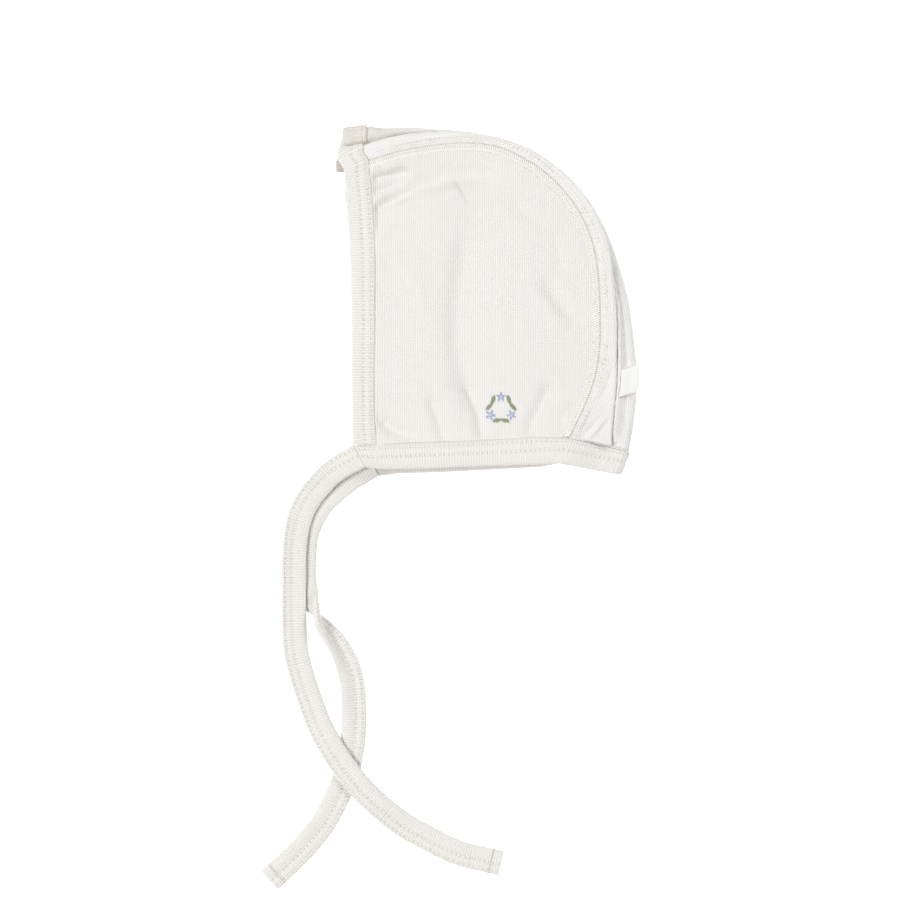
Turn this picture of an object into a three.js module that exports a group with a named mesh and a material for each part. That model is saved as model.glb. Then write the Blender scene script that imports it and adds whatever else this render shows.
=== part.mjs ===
import * as THREE from 'three';

// A baby's bonnet in fine rib knit, laid on its side with the face opening to the left.
// Two side panels are joined by a strip that runs over the crown from the brow to the nape.
// Lying flat, that strip folds in between the panels like the gusset of a bag.
// Millimetres. +X runs from the face to the back of the head, +Y from the neck to the crown.
// +Z is up from the surface that the bonnet rests on, which is the plane z = 0.

// One layer of knit, the walls of the folded tape, and the play between pieces sewn together
const knit = 1.1;
const tapeWall = 0.9;
const play = 0.3;
const slotHalf = knit / 2 + play;
const tapeHalf = slotHalf + tapeWall;

// The full width of the crown strip when it is opened out flat
const stripWidth = 60;

// The crown strip, a row for each station from the brow to the nape.
// seam: where the near panel is joined; fold: the near outer fold; far: how far the far
// outer fold lies beyond it; turn: from the far fold back to the far seam; lean and lobe: how far
// the near fold and the inner fold are pushed towards the face; angle and radius: of the
// inward fold; farRadius: of the far outer fold, which is rounder at the back of the head.
// seamX, seamY, foldX, foldY, far, turn, lean, lobe, angle, radius, farRadius
const stripRows = [
  [-64.9, 58.9, -65.4, 69.7, 8.2, 21, 3.0, 4.3, 180, 2.1, 2.1],
  [-53.4, 63.8, -53.9, 71.9, 7.8, 20, 2.4, 1.4, 180, 2.1, 2.1],
  [-46.0, 66.2, -46.5, 74.2, 5.3, 17.5, 0.8, 0.2, 180, 2.2, 2.1],
  [-36.8, 68.8, -37.3, 76.2, 3.2, 15.5, 0, 0, 180, 1.95, 2.1],
  [-24.4, 70.8, -24.6, 77.3, 1.4, 13.5, 0, 0, 180, 1.7, 2.2],
  [-9.2, 72.0, -9.0, 77.4, 0.2, 13, 0, 0, 180, 1.6, 2.3],
  [6.0, 70.2, 7.6, 74.4, -0.3, 12, 0, 0, 180, 1.5, 2.5],
  [20.7, 63.2, 23.7, 68.0, -1.0, 11, 0, 0, 180, 1.4, 2.8],
  [33.6, 52.9, 37.9, 57.2, -1.0, 10, 0, 0, 180, 1.3, 3.1],
  [43.7, 39.6, 49.5, 43.1, 0.1, 9.5, 0, 0, 180, 1.25, 3.2],
  [49.7, 24.8, 55.9, 26.8, 2.1, 10.2, 0, 0, 180, 1.25, 3.3],
  [52.0, 10.1, 58.9, 10.9, 4.2, 10.9, 0, 0, 180, 1.25, 3.3],
  [52.7, -4.6, 60.3, -4.4, 6.4, 12.4, 0, 0, 180, 1.3, 3.3],
  [52.7, -19.3, 60.8, -20.2, 8.1, 13.8, 0, 0, 180, 1.25, 3.3],
  [50.8, -33.6, 60.8, -36.7, 9.4, 15.6, 0, 0, 180, 1.2, 3.3],
  [46.5, -46.5, 59.4, -51.4, 9.9, 17.9, 0, 0, 180, 1.15, 3.3],
  [41.4, -58.4, 58.6, -63.4, 8.8, 24.6, 0, 0, 165, 1.1, 3.0],
  [38.2, -63.4, 58.0, -67.9, 8.1, 27.8, 0, 0, 0, 2.1, 2.2],
  [34.0, -75.4, 53.4, -79.1, 7.9, 27.8, 0, 0, 0, 2.1, 2.1],
];
const lastRow = stripRows.length - 1;

// The folded tape, seen from above: its outer folded edge and its inner sewn edge.
// outerX, outerY, innerX, innerY
const nearFaceTape = [
  [-60.9, -66.8, -49.4, -65.9],
  [-61.2, -55.2, -50.6, -55.2],
  [-61.4, -36.8, -50.9, -36.8],
  [-61.4, -18.4, -50.6, -18.4],
  [-61.6, 0.0, -50.5, 0.0],
  [-62.2, 18.4, -50.4, 18.4],
  [-63.0, 36.8, -51.1, 37.7],
  [-63.9, 48.3, -52.0, 50.6],
  [-64.7, 55.4, -53.1, 59.8],
];
const farFaceTape = [
  [-64.6, 49.0, -52.9, 50.0],
  [-63.5, 39.1, -52.2, 40.0],
  [-61.6, 13.8, -50.4, 13.8],
  [-59.3, -18.4, -48.1, -18.4],
  [-57.5, -46.0, -46.2, -46.0],
  [-55.9, -70.2, -44.6, -68.4],
];
const nearNeckTape = [
  [-55.7, -77.0, -60.7, -67.3],
  [-46.5, -77.9, -49.2, -66.4],
  [-29.0, -77.7, -29.9, -65.5],
  [-2.3, -76.6, -2.3, -64.5],
  [20.7, -75.9, 22.7, -63.0],
];
const farNeckTape = [
  [25.3, -77.0, 27.2, -65.0],
  [6.9, -78.0, 6.9, -66.0],
  [-20.7, -79.4, -20.7, -67.4],
  [-39.1, -80.0, -40.9, -68.8],
  [-49.2, -81.2, -54.7, -70.8],
];

// The edges of the side panels that lie hidden inside the tape, from the neck up and from the
// face backwards; each ends where the crown strip begins.
const nearFaceEdge = [
  [-55.2, -74.6], [-59.0, -67.4], [-59.8, -55], [-60.1, -18], [-60.4, 0], [-61.6, 37],
];
const nearNeckEdge = [[-55.2, -74.6], [-46.2, -76.4], [-29, -76.3], [-2.3, -75.2], [20.8, -74.5]];
const farFaceEdge = [
  [-49.0, -78.8], [-53.6, -70.2], [-56.2, -46], [-57.9, -18], [-60.2, 14], [-62.1, 39],
];
const farNeckEdge = [[-49.0, -78.8], [-39.0, -78.6], [-20.7, -78], [6.9, -76.6], [25.2, -75.6]];

// How high the near panel stands above the surface: its height at the tape, how much it
// swells away from the tape, and how much it is lifted at the brow and in its middle
const tapeHeight = 10.6;
const swell = { rise: 1.3, reach: 25, faceX: -61, neckY: -77 };
const browLift = { rise: 4.2, x: -64, y: 66, spread: 27 };
const middleLift = { rise: 2.2, x: 10, y: -4, spread: 42 };

// The main folds of the near panel: height (less than nothing for a valley), half width to the
// left and to the right of the path, and the path. The first is the long valley down the middle,
// steep towards the face and gentle towards the back. A fold fades out at both ends of its path.
const foldFade = { slope: 4, least: 0.25 };
const longValley = [
  [-0.9, -63], [-3, -51], [-9.5, -35], [-12, -20], [-12, -3], [-9.5, 19], [-6, 36],
];
const nearFolds = [
  { rise: -2.1, left: 5.5, right: 18, path: longValley },
  { rise: -0.5, left: 2.6, right: 4, path: [[-0.9, -65], [-3, -51], [-9.5, -36]] },
  { rise: -1.3, left: 2.8, right: 5, path: [[-18.3, -65], [-20.5, -57], [-25.3, -43]] },
  { rise: -1.2, left: 3.2, right: 3.2, path: [[-48, -56], [-42.8, -60], [-28, -63]] },
  { rise: -1.3, left: 3.6, right: 3, path: [[19.3, -63], [25.8, -48], [30.8, -39]] },
  { rise: -0.8, left: 3, right: 4, path: [[38, -8], [31, 2], [27.6, 9]] },
  { rise: -0.8, left: 3, right: 3, path: [[35.4, 11], [34.5, 21], [31.3, 32]] },
  { rise: -1.2, left: 2.4, right: 2.4, path: [[-52, 55.2], [-43, 57], [-33, 59]] },
  { rise: -1.5, left: 6, right: 3.2, path: [[-51, 42], [-37.7, 51], [-18, 56], [4, 58]] },
];

// The far panel lies on the surface and rises only where the tape holds its edge: over these
// distances, all the way below neckY, and all the way in front of a line that leans from
// lowX at lowY to highX at highY. Two short lines close the tape's edge at the brow and nape.
const farRise = { from: 0.8, to: 9, neckY: -66 };
const farFaceLine = { lowX: -46.2, highX: -52.9, lowY: -46, highY: 50, least: -0.3, most: 1.4 };
const browLine = { back: 2, down: 14 };
const napeEnds = [[27, -65], [66, -69.5]];

// The ties: width, thickness, extra thickness where each is sewn on, and the routes of their
// middle lines. curl is the angle the width is cupped through, turn is the twist about the
// length, both in degrees; a tie that passes over the other one does so in a long low hump.
// spans and steps cut its width and length, and look is the part of a row over which its
// direction is read.
const tie = {
  width: 11.5, thick: 2.2, rootExtra: 1.2, rootReach: 9, spans: 4, steps: 46, look: 0.02,
};
// x, y, z, curl, turn
const nearTieRoute = [
  [-58.6, -72.4, 10.6, 0, 0],
  [-65.3, -75.9, 9.9, 0, 0],
  [-71.3, -80.0, 8.2, 8, 0],
  [-75.7, -84.6, 6.6, 12, 0],
  [-80.1, -90.0, 5.2, 16, 0],
  [-83.7, -96.1, 4.5, 24, 0],
  [-86.1, -102.9, 4.2, 40, 0],
  [-87.4, -110.4, 4.2, 55, 0],
  [-88.0, -119.6, 4.2, 64, 0],
  [-88.0, -128.8, 4.5, 64, 0],
  [-88.0, -138.0, 4.9, 56, 0],
  [-87.9, -147.2, 4.4, 44, 0],
  [-87.1, -161.0, 2.8, 24, 0],
  [-83.3, -176.2, 1.6, 10, 0],
  [-77.0, -193.7, 2.6, 4, 0],
  [-72.7, -202.4, 3.7, 0, 0],
  [-67.2, -211.6, 3.9, 0, 0],
  [-59.9, -221.3, 3.8, 0, 0],
  [-53.2, -228.6, 3.4, 0, 0],
  [-44.5, -236.3, 2.4, 4, 0],
  [-35.9, -242.6, 1.5, 6, 0],
  [-27.1, -247.4, 1.3, 6, 0],
  [-18.1, -252.0, 1.3, 4, 0],
  [-9.3, -255.4, 1.2, 0, 0],
  [7.5, -259.3, 1.2, 0, 0],
];
const farTieRoute = [
  [-52.4, -76.3, 1.9, 0, 0],
  [-57.5, -79.4, 1.7, 0, 0],
  [-63.0, -82.8, 1.3, 0, 0],
  [-72.2, -90.4, 1.2, 0, 0],
  [-76.5, -95.5, 1.2, 0, 0],
  [-80.3, -102.3, 1.2, 0, 0],
  [-82.6, -109.6, 1.2, 0, 0],
  [-83.6, -123.3, 1.2, 0, 0],
  [-83.0, -131.2, 1.9, 6, -7],
  [-80.9, -136.8, 3.8, 26, -32],
  [-78.8, -141.4, 6.0, 44, -66],
  [-77.4, -145.2, 6.6, 14, -90],
  [-75.8, -148.8, 5.7, -60, -112],
  [-73.0, -152.4, 4.4, -90, -130],
  [-69.4, -156.9, 3.9, -94, -146],
  [-65.6, -163.0, 3.3, -84, -159],
  [-62.8, -169.4, 2.8, -64, -175],
  [-61.0, -176.6, 2.2, -52, -178],
  [-60.3, -187.0, 2.0, -40, -180],
  [-60.5, -199.2, 1.4, -12, -180],
  [-61.6, -207.9, 1.2, 0, -180],
  [-63.9, -218.2, 1.2, 0, -180],
  [-70.3, -233.4, 1.2, 0, -180],
  [-76.0, -242.9, 1.2, 0, -180],
  [-82.4, -250.6, 1.2, 0, -180],
  [-89.1, -257.6, 1.2, 0, -180],
  [-99.2, -267.1, 1.2, 0, -180],
];

// The label is a white tape folded in a loop, lying on the crown strip beside its near fold
const label = { x: 66.4, y: -37.2, z: 8.8, angle: 12, long: 8.0, wide: 13.6, thick: 1.6, wall: 0.55 };

const ivory = 0xf1efe9;
const white = 0xfafaf8;
const degree = Math.PI / 180;

const smooth = (t) => t * t * (3 - 2 * t);
const clamp = (t, low, high) => Math.min(high, Math.max(low, t));
const mix = (a, b, t) => a + (b - a) * t;
const hill = (distance, half) => Math.exp(-((distance / half) ** 2));

// Reads a table as one smooth line: row numbers may be fractions
function readTable(rows, at) {
  const last = rows.length - 1;
  const place = clamp(at, 0, last);
  const row = Math.min(last - 1, Math.floor(place));
  const t = place - row;
  const before = rows[Math.max(0, row - 1)];
  const after = rows[Math.min(last, row + 2)];
  return rows[row].map((a, column) => {
    const b = rows[row + 1][column];
    const slopeA = (b - before[column]) / (row > 0 ? 2 : 1);
    const slopeB = (after[column] - a) / (row < last - 1 ? 2 : 1);
    const t2 = t * t;
    const t3 = t2 * t;
    return (2 * t3 - 3 * t2 + 1) * a + (t3 - 2 * t2 + t) * slopeA
      + (3 * t2 - 2 * t3) * b + (t3 - t2) * slopeB;
  });
}

// Row numbers that cut a line into equal lengths
const samplesPerStep = 12;
function evenly(pointAt, from, to, steps) {
  const samples = steps * samplesPerStep;
  const lengths = [0];
  let before = pointAt(from);
  for (let i = 1; i <= samples; i += 1) {
    const here = pointAt(mix(from, to, i / samples));
    lengths.push(lengths[i - 1] + Math.hypot(here[0] - before[0], here[1] - before[1]));
    before = here;
  }
  const places = [];
  let i = 0;
  for (let step = 0; step <= steps; step += 1) {
    const wanted = lengths[samples] * step / steps;
    while (i < samples && lengths[i + 1] < wanted) i += 1;
    const span = Math.max(1e-9, lengths[Math.min(samples, i + 1)] - lengths[i]);
    places.push(mix(from, to, clamp((i + (wanted - lengths[i]) / span) / samples, 0, 1)));
  }
  return places;
}

// Distance from a point to a path of straight pieces, with how far along the path it lies and
// on which side of it, from 1 for straight to its left to -1 for straight to its right
function pathDistance(x, y, path) {
  let best = Infinity;
  let along = 0;
  let side = 0;
  for (let i = 0; i < path.length - 1; i += 1) {
    const [ax, ay] = path[i];
    const [bx, by] = path[i + 1];
    const lengthSquared = (bx - ax) ** 2 + (by - ay) ** 2;
    const t = clamp(((x - ax) * (bx - ax) + (y - ay) * (by - ay)) / lengthSquared, 0, 1);
    const distance = Math.hypot(x - mix(ax, bx, t), y - mix(ay, by, t));
    if (distance < best) {
      best = distance;
      along = (i + t) / (path.length - 1);
      const leftward = ((bx - ax) * (y - ay) - (by - ay) * (x - ax)) / Math.sqrt(lengthSquared);
      side = leftward / Math.max(distance, 1e-6);
    }
  }
  return [best, along, side];
}

// Height of the middle of the near panel's cloth above the surface
function nearHeight(x, y) {
  const fromFace = 1 - Math.exp(-Math.max(0, x - swell.faceX) / swell.reach);
  const fromNeck = 1 - Math.exp(-Math.max(0, y - swell.neckY) / swell.reach);
  let height = tapeHeight + swell.rise * fromFace * fromNeck;
  height += browLift.rise * hill(Math.hypot(x - browLift.x, y - browLift.y), browLift.spread);
  height += middleLift.rise * hill(Math.hypot(x - middleLift.x, y - middleLift.y), middleLift.spread);
  for (const fold of nearFolds) {
    const [distance, along, side] = pathDistance(x, y, fold.path);
    const toEnd = Math.min(along, 1 - along);
    const fade = smooth(clamp(toEnd * foldFade.slope + foldFade.least, 0, 1));
    const half = mix(fold.right, fold.left, (side + 1) / 2);
    height += fold.rise * fade * hill(distance, half);
  }
  return height;
}

// Height of the middle of the far panel's cloth above the surface
const columns = (rows, x, y) => rows.map((row) => [row[x], row[y]]);
function farHeight(x, y) {
  const [toFace] = pathDistance(x, y, columns(farFaceTape, 2, 3));
  const [toNeck] = pathDistance(x, y, columns(farNeckTape, 2, 3));
  const [browX, browY] = stripRows[1];
  const [napeX, napeY] = stripRows[lastRow - 1];
  const browPath = [[browX - browLine.back, browY - browLine.down], [browX, browY]];
  const [toBrow] = pathDistance(x, y, browPath);
  const [toNape] = pathDistance(x, y, [napeEnds[0], [napeX, napeY], napeEnds[1]]);
  const { lowX, highX, lowY, highY, least, most } = farFaceLine;
  const faceSide = x < mix(lowX, highX, clamp((y - lowY) / (highY - lowY), least, most));
  const neckSide = y < farRise.neckY;
  const nearest = faceSide || neckSide ? 0 : Math.min(toFace, toNeck, toBrow, toNape);
  const lift = 1 - smooth(clamp((nearest - farRise.from) / (farRise.to - farRise.from), 0, 1));
  return knit / 2 + (tapeHalf - knit / 2) * lift;
}

// The strip's cross-section at one station, as points of the middle of its cloth with the
// direction of its outer side. out is measured from the near seam, outwards, and push is how far
// the point is moved towards the face.
const sectionSpans = { run: 2, bend: 4 };
const leastBend = { angle: 8, run: 0.6 };
function stripSection(at) {
  const row = readTable(stripRows, at);
  const [seamX, seamY, foldX, foldY, far, turn, lean, lobe, angle, radius, farRadius] = row;
  const reach = Math.hypot(foldX - seamX, foldY - seamY);
  const outward = [(foldX - seamX) / reach, (foldY - seamY) / reach];
  const farFold = reach + far;
  const farSeam = farFold - turn;
  const folded = (stripWidth + knit - farFold - turn) / 2;
  const bends = Math.PI * radius + (Math.PI / 2 - 1) * farRadius;
  const bend = clamp(angle, leastBend.angle, 180) * degree;
  const inner = Math.max(leastBend.run, folded - bends);
  const sideways = bend > Math.PI / 2 ? 1 : Math.sin(bend);
  const firstRun = reach - (radius + knit / 2) * sideways;
  const seamHeight = nearHeight(seamX, seamY);
  const farX = seamX + outward[0] * farSeam;
  const farY = seamY + outward[1] * farSeam;
  const endHeight = farHeight(farX, farY);
  const drop = 2 * radius * (1 - Math.cos(bend)) + inner * Math.sin(bend);
  const fall = seamHeight - endHeight - 2 * farRadius - drop;
  const points = [];
  const add = (out, height, heading, push) => {
    points.push({ out, height, normal: [-Math.sin(heading), Math.cos(heading)], push });
  };
  for (let i = 0; i < sectionSpans.run; i += 1) {
    const t = i / sectionSpans.run;
    const slope = -Math.atan2(6 * t * (1 - t) * fall, firstRun);
    add(firstRun * t, seamHeight - fall * smooth(t), slope, lean * smooth(t));
  }
  let height = seamHeight - fall;
  for (let i = 0; i <= sectionSpans.bend; i += 1) {
    const turned = bend * i / sectionSpans.bend;
    add(firstRun + radius * Math.sin(turned), height - radius * (1 - Math.cos(turned)), -turned, lean);
  }
  const innerStart = firstRun + radius * Math.sin(bend) + inner * Math.cos(bend);
  height -= radius * (1 - Math.cos(bend)) + inner * Math.sin(bend);
  for (let i = 0; i <= sectionSpans.bend; i += 1) {
    const turned = bend * (1 - i / sectionSpans.bend);
    const out = innerStart + radius * (Math.sin(bend) - Math.sin(turned));
    add(out, height - radius * (Math.cos(turned) - Math.cos(bend)), -turned, lobe);
  }
  height -= radius * (1 - Math.cos(bend));
  const lastRun = farFold - farRadius - knit / 2;
  for (let i = 0; i <= sectionSpans.bend; i += 1) {
    const turned = Math.PI * i / sectionSpans.bend;
    const lower = farRadius * (1 - Math.cos(turned));
    add(lastRun + farRadius * Math.sin(turned), height - lower, -turned, 0);
  }
  for (let i = 1; i <= sectionSpans.run; i += 1) {
    add(mix(lastRun, farSeam, i / sectionSpans.run), endHeight, -Math.PI, 0);
  }
  return { points, seamX, seamY, outward, farX, farY };
}

// A point of the strip in space, moved out of the cloth by offset
function stripPoint(section, frontward, index, offset) {
  const { out, height, normal, push } = section.points[index];
  const across = out + normal[0] * offset;
  return [
    section.seamX + section.outward[0] * across + frontward[0] * push,
    section.seamY + section.outward[1] * across + frontward[1] * push,
    height + normal[1] * offset,
  ];
}

// Direction along the seam towards the face at one station
function towardsFace(at) {
  const here = readTable(stripRows, at - 0.05);
  const next = readTable(stripRows, at + 0.05);
  const length = Math.hypot(next[0] - here[0], next[1] - here[1]);
  return [(here[0] - next[0]) / length, (here[1] - next[1]) / length];
}

// A closed body from points and triangles, turned to face outwards
function body(points, triangles) {
  let volume = 0;
  for (const [a, b, c] of triangles) {
    const [p, q, r] = [points[a], points[b], points[c]];
    volume += p[0] * (q[1] * r[2] - q[2] * r[1]) + p[1] * (q[2] * r[0] - q[0] * r[2])
      + p[2] * (q[0] * r[1] - q[1] * r[0]);
  }
  const facing = volume < 0 ? triangles.map(([a, b, c]) => [a, c, b]) : triangles;
  const geometry = new THREE.BufferGeometry();
  geometry.setAttribute('position', new THREE.Float32BufferAttribute(points.flat(), 3));
  geometry.setIndex(facing.flat());
  return geometry;
}

// A body through a row of rings with the same number of corners. The second half of a ring runs
// back beside its first half, so that each end face is a ladder of four-sided pieces.
function loft(rings) {
  const corners = rings[0].length;
  const triangles = [];
  for (let ring = 0; ring < rings.length - 1; ring += 1) {
    for (let corner = 0; corner < corners; corner += 1) {
      const next = (corner + 1) % corners;
      const [a, b] = [ring * corners + corner, ring * corners + next];
      triangles.push([a, b, a + corners], [b, b + corners, a + corners]);
    }
  }
  const end = (rings.length - 1) * corners;
  for (let i = 0; i < corners / 2 - 1; i += 1) {
    const back = corners - 1 - i;
    triangles.push([i, back, i + 1], [i + 1, back, back - 1]);
    triangles.push([end + i, end + i + 1, end + back], [end + i + 1, end + back - 1, end + back]);
  }
  return body(rings.flat(), triangles);
}

// A side panel: a sheet of knit between four edges. Two of them meet in the crown seam, at the
// station of its rounded corner. The seam ends a little inside the tape, by a share of a station.
const cornerStation = 8;
const inset = { panel: 0.1, strip: 0.11 };
function panel(faceEdge, neckEdge, seamAt, heightAt, spans) {
  const topSteps = evenly(seamAt, inset.panel, cornerStation, spans.across);
  const backSteps = evenly(seamAt, lastRow - inset.panel, cornerStation, spans.up);
  const leftRows = [...faceEdge, seamAt(inset.panel)];
  const lowRows = [...neckEdge, seamAt(lastRow - inset.panel)];
  const leftSteps = evenly((at) => readTable(leftRows, at), 0, leftRows.length - 1, spans.up);
  const lowSteps = evenly((at) => readTable(lowRows, at), 0, lowRows.length - 1, spans.across);
  const brow = seamAt(inset.panel);
  const corners = [lowRows[0], lowRows[lowRows.length - 1], brow, seamAt(cornerStation)];
  const grid = [];
  for (let j = 0; j <= spans.up; j += 1) {
    for (let i = 0; i <= spans.across; i += 1) {
      const [u, v] = [i / spans.across, j / spans.up];
      const left = readTable(leftRows, leftSteps[j]);
      const right = seamAt(backSteps[j]);
      const low = readTable(lowRows, lowSteps[i]);
      const top = seamAt(topSteps[i]);
      grid.push([0, 1].map((k) => mix(left[k], right[k], u) + mix(low[k], top[k], v)
        - mix(mix(corners[0][k], corners[1][k], u), mix(corners[2][k], corners[3][k], u), v)));
    }
  }
  const wide = spans.across + 1;
  const count = grid.length;
  const points = [];
  for (const side of [1, -1]) {
    for (const [x, y] of grid) points.push([x, y, heightAt(x, y) + side * knit / 2]);
  }
  const triangles = [];
  for (let j = 0; j < spans.up; j += 1) {
    for (let i = 0; i < spans.across; i += 1) {
      const a = j * wide + i;
      triangles.push([a, a + 1, a + wide + 1], [a, a + wide + 1, a + wide]);
      triangles.push([a + count, a + count + wide + 1, a + count + 1]);
      triangles.push([a + count, a + count + wide, a + count + wide + 1]);
    }
  }
  const rim = [];
  for (let i = 0; i < spans.across; i += 1) rim.push(i);
  for (let j = 0; j < spans.up; j += 1) rim.push(j * wide + spans.across);
  for (let i = spans.across; i > 0; i -= 1) rim.push(spans.up * wide + i);
  for (let j = spans.up; j > 0; j -= 1) rim.push(j * wide);
  rim.forEach((a, index) => {
    const b = rim[(index + 1) % rim.length];
    triangles.push([a, a + count, b], [b, a + count, b + count]);
  });
  return body(points, triangles);
}

function nearSeamEdge(at) {
  const [seamX, seamY, foldX, foldY] = readTable(stripRows, at);
  const reach = Math.hypot(foldX - seamX, foldY - seamY);
  return [seamX - (foldX - seamX) / reach * play / 2, seamY - (foldY - seamY) / reach * play / 2];
}

function farSeamEdge(at) {
  const { farX, farY, outward } = stripSection(at);
  return [farX - outward[0] * play, farY - outward[1] * play];
}

// The crown strip, from inside the face tape to inside the neck tape. Its inward fold opens out
// just before the neck tape, over the last stations, where the rings are closer together.
const ringsApart = { folded: 0.5, opening: 0.25, openingStations: 3 };
function crownStrip() {
  const opening = lastRow - ringsApart.openingStations;
  const places = [inset.strip];
  for (let at = ringsApart.folded; at < opening; at += ringsApart.folded) places.push(at);
  for (let at = opening; at < lastRow; at += ringsApart.opening) places.push(at);
  places.push(lastRow - inset.strip);
  const rings = places.map((at) => {
    const section = stripSection(at);
    const frontward = towardsFace(at);
    const { points } = section;
    points[0].out += play / 2;
    points[points.length - 1].out += play / 2;
    const outer = points.map((point, index) => stripPoint(section, frontward, index, knit / 2));
    const inner = points.map((point, index) => stripPoint(section, frontward, index, -knit / 2));
    return [...outer, ...inner.reverse()];
  });
  return loft(rings);
}

// The folded tape in section: part of its width from the folded edge, and height off the middle
const foldedEdge = 0.06;
const slotEnd = 0.11;
const slotBottom = 0.09;
const tapeProfile = [
  [1, tapeHalf], [0.5, tapeHalf], [foldedEdge, tapeHalf], [0, 0],
  [foldedEdge, -tapeHalf], [0.5, -tapeHalf], [1, -tapeHalf],
  [1, -slotHalf], [0.5, -slotHalf], [slotEnd, -slotHalf], [slotBottom, 0],
  [slotEnd, slotHalf], [0.5, slotHalf], [1, slotHalf],
];

// The folded tape around one opening: along the near panel, over the strip, along the far panel
function foldedTape(nearRows, farRows, stripAt, steps) {
  const rings = [];
  const flatRing = (rows, at, heightAt, side) => {
    const [outerX, outerY, innerX, innerY] = readTable(rows, at);
    return tapeProfile.map(([share, offset]) => {
      const x = mix(outerX, innerX, share);
      const y = mix(outerY, innerY, share);
      return [x, y, heightAt(x, y) + side * offset];
    });
  };
  const outerEdge = (rows) => (at) => readTable(rows, at);
  for (const at of evenly(outerEdge(nearRows), 0, nearRows.length - 1, steps.near)) {
    rings.push(flatRing(nearRows, at, nearHeight, 1));
  }
  const shares = [...new Set(tapeProfile.map(([share]) => share))];
  const sections = new Map(shares.map((share) => [share, stripSection(stripAt(share))]));
  const count = stripSection(stripAt(0)).points.length;
  for (let index = 0; index < count; index += 1) {
    rings.push(tapeProfile.map(([share, offset]) => (
      stripPoint(sections.get(share), towardsFace(stripAt(share)), index, offset)
    )));
  }
  for (const at of evenly(outerEdge(farRows), 0, farRows.length - 1, steps.far)) {
    rings.push(flatRing(farRows, at, farHeight, -1));
  }
  return loft(rings);
}

// A tie: a flat ribbon of doubled tape along its route, cupped and twisted by the table
function ribbon(route) {
  const steps = evenly((at) => readTable(route, at), 0, route.length - 1, tie.steps);
  let travelled = 0;
  let before = null;
  const rings = steps.map((at) => {
    const [x, y, z, curl, turn] = readTable(route, at);
    const ahead = new THREE.Vector3(...readTable(route, at + tie.look));
    const behind = new THREE.Vector3(...readTable(route, at - tie.look));
    const along = ahead.sub(behind).normalize();
    const side = new THREE.Vector3(along.y, -along.x, 0).normalize();
    const up = new THREE.Vector3().crossVectors(side, along).normalize();
    const spin = turn * degree;
    const across = side.clone().multiplyScalar(Math.cos(spin)).addScaledVector(up, Math.sin(spin));
    const over = up.clone().multiplyScalar(Math.cos(spin)).addScaledVector(side, -Math.sin(spin));
    if (before) travelled += Math.hypot(x - before[0], y - before[1], z - before[2]);
    before = [x, y, z];
    const thick = tie.thick + tie.rootExtra * Math.exp(-travelled / tie.rootReach);
    const cup = Math.abs(curl) < 1 ? degree : curl * degree;
    const round = tie.width / cup;
    const settle = round * (1 - Math.sin(cup / 2) / (cup / 2));
    const ring = [];
    for (const offset of [thick / 2, -thick / 2]) {
      const row = [];
      for (let i = 0; i <= tie.spans; i += 1) {
        const lean = cup * (i / tie.spans - 0.5);
        const sideways = (round - offset) * Math.sin(lean);
        const rise = round - (round - offset) * Math.cos(lean) - settle;
        const corner = new THREE.Vector3(x, y, z);
        corner.addScaledVector(across, sideways).addScaledVector(over, rise);
        row.push(corner.toArray());
      }
      ring.push(...(offset > 0 ? row : row.reverse()));
    }
    return ring;
  });
  return loft(rings);
}

// The label: a loop of flat tape, open at the end that is sewn in
function labelLoop() {
  const half = label.thick / 2;
  const slot = half - label.wall;
  const outline = new THREE.Shape();
  outline.moveTo(0, half);
  outline.lineTo(label.long - half, half);
  outline.absarc(label.long - half, 0, half, Math.PI / 2, -Math.PI / 2, true);
  outline.lineTo(0, -half);
  outline.lineTo(0, -slot);
  outline.lineTo(label.long - half, -slot);
  outline.absarc(label.long - half, 0, slot, -Math.PI / 2, Math.PI / 2, false);
  outline.lineTo(0, slot);
  outline.closePath();
  const extrusion = { depth: label.wide, bevelEnabled: false, curveSegments: 6 };
  const geometry = new THREE.ExtrudeGeometry(outline, extrusion);
  geometry.translate(-label.long / 2, 0, -label.wide / 2);
  geometry.rotateX(Math.PI / 2);
  return geometry;
}

const group = new THREE.Group();
group.name = 'bonnet';

function place(name, geometry, colour) {
  const material = new THREE.MeshStandardMaterial({ color: colour, roughness: 0.9 });
  material.name = name;
  const mesh = new THREE.Mesh(geometry, material);
  mesh.name = name;
  group.add(mesh);
  return mesh;
}

const nearSpans = { across: 24, up: 28 };
const farSpans = { across: 13, up: 24 };
place('near_side_panel', panel(nearFaceEdge, nearNeckEdge, nearSeamEdge, nearHeight, nearSpans), ivory);
place('far_side_panel', panel(farFaceEdge, farNeckEdge, farSeamEdge, farHeight, farSpans), ivory);
place('crown_strip', crownStrip(), ivory);

const faceSteps = { near: 16, far: 12 };
const neckSteps = { near: 12, far: 10 };
place('face_band', foldedTape(nearFaceTape, farFaceTape, (share) => share, faceSteps), ivory);
place('neck_band', foldedTape(nearNeckTape, farNeckTape, (share) => lastRow - share, neckSteps), ivory);
place('near_tie', ribbon(nearTieRoute), ivory);
place('far_tie', ribbon(farTieRoute), ivory);
const loop = place('label', labelLoop(), white);
loop.position.set(label.x, label.y, label.z);
loop.rotation.z = label.angle * degree;

export default group;
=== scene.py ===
# %% [markdown]
# # A baby's bonnet in fine rib knit
# The real bonnet is sewn from three pieces of ivory cotton rib: two side panels and a strip that
# runs over the crown. Its edges are bound with a folded rib tape that goes on as two ties.
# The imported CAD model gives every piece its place. Here each piece is made again as cloth, with
# its ribs, seams and stitches as real relief, and takes the place of its plain solid.

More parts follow.
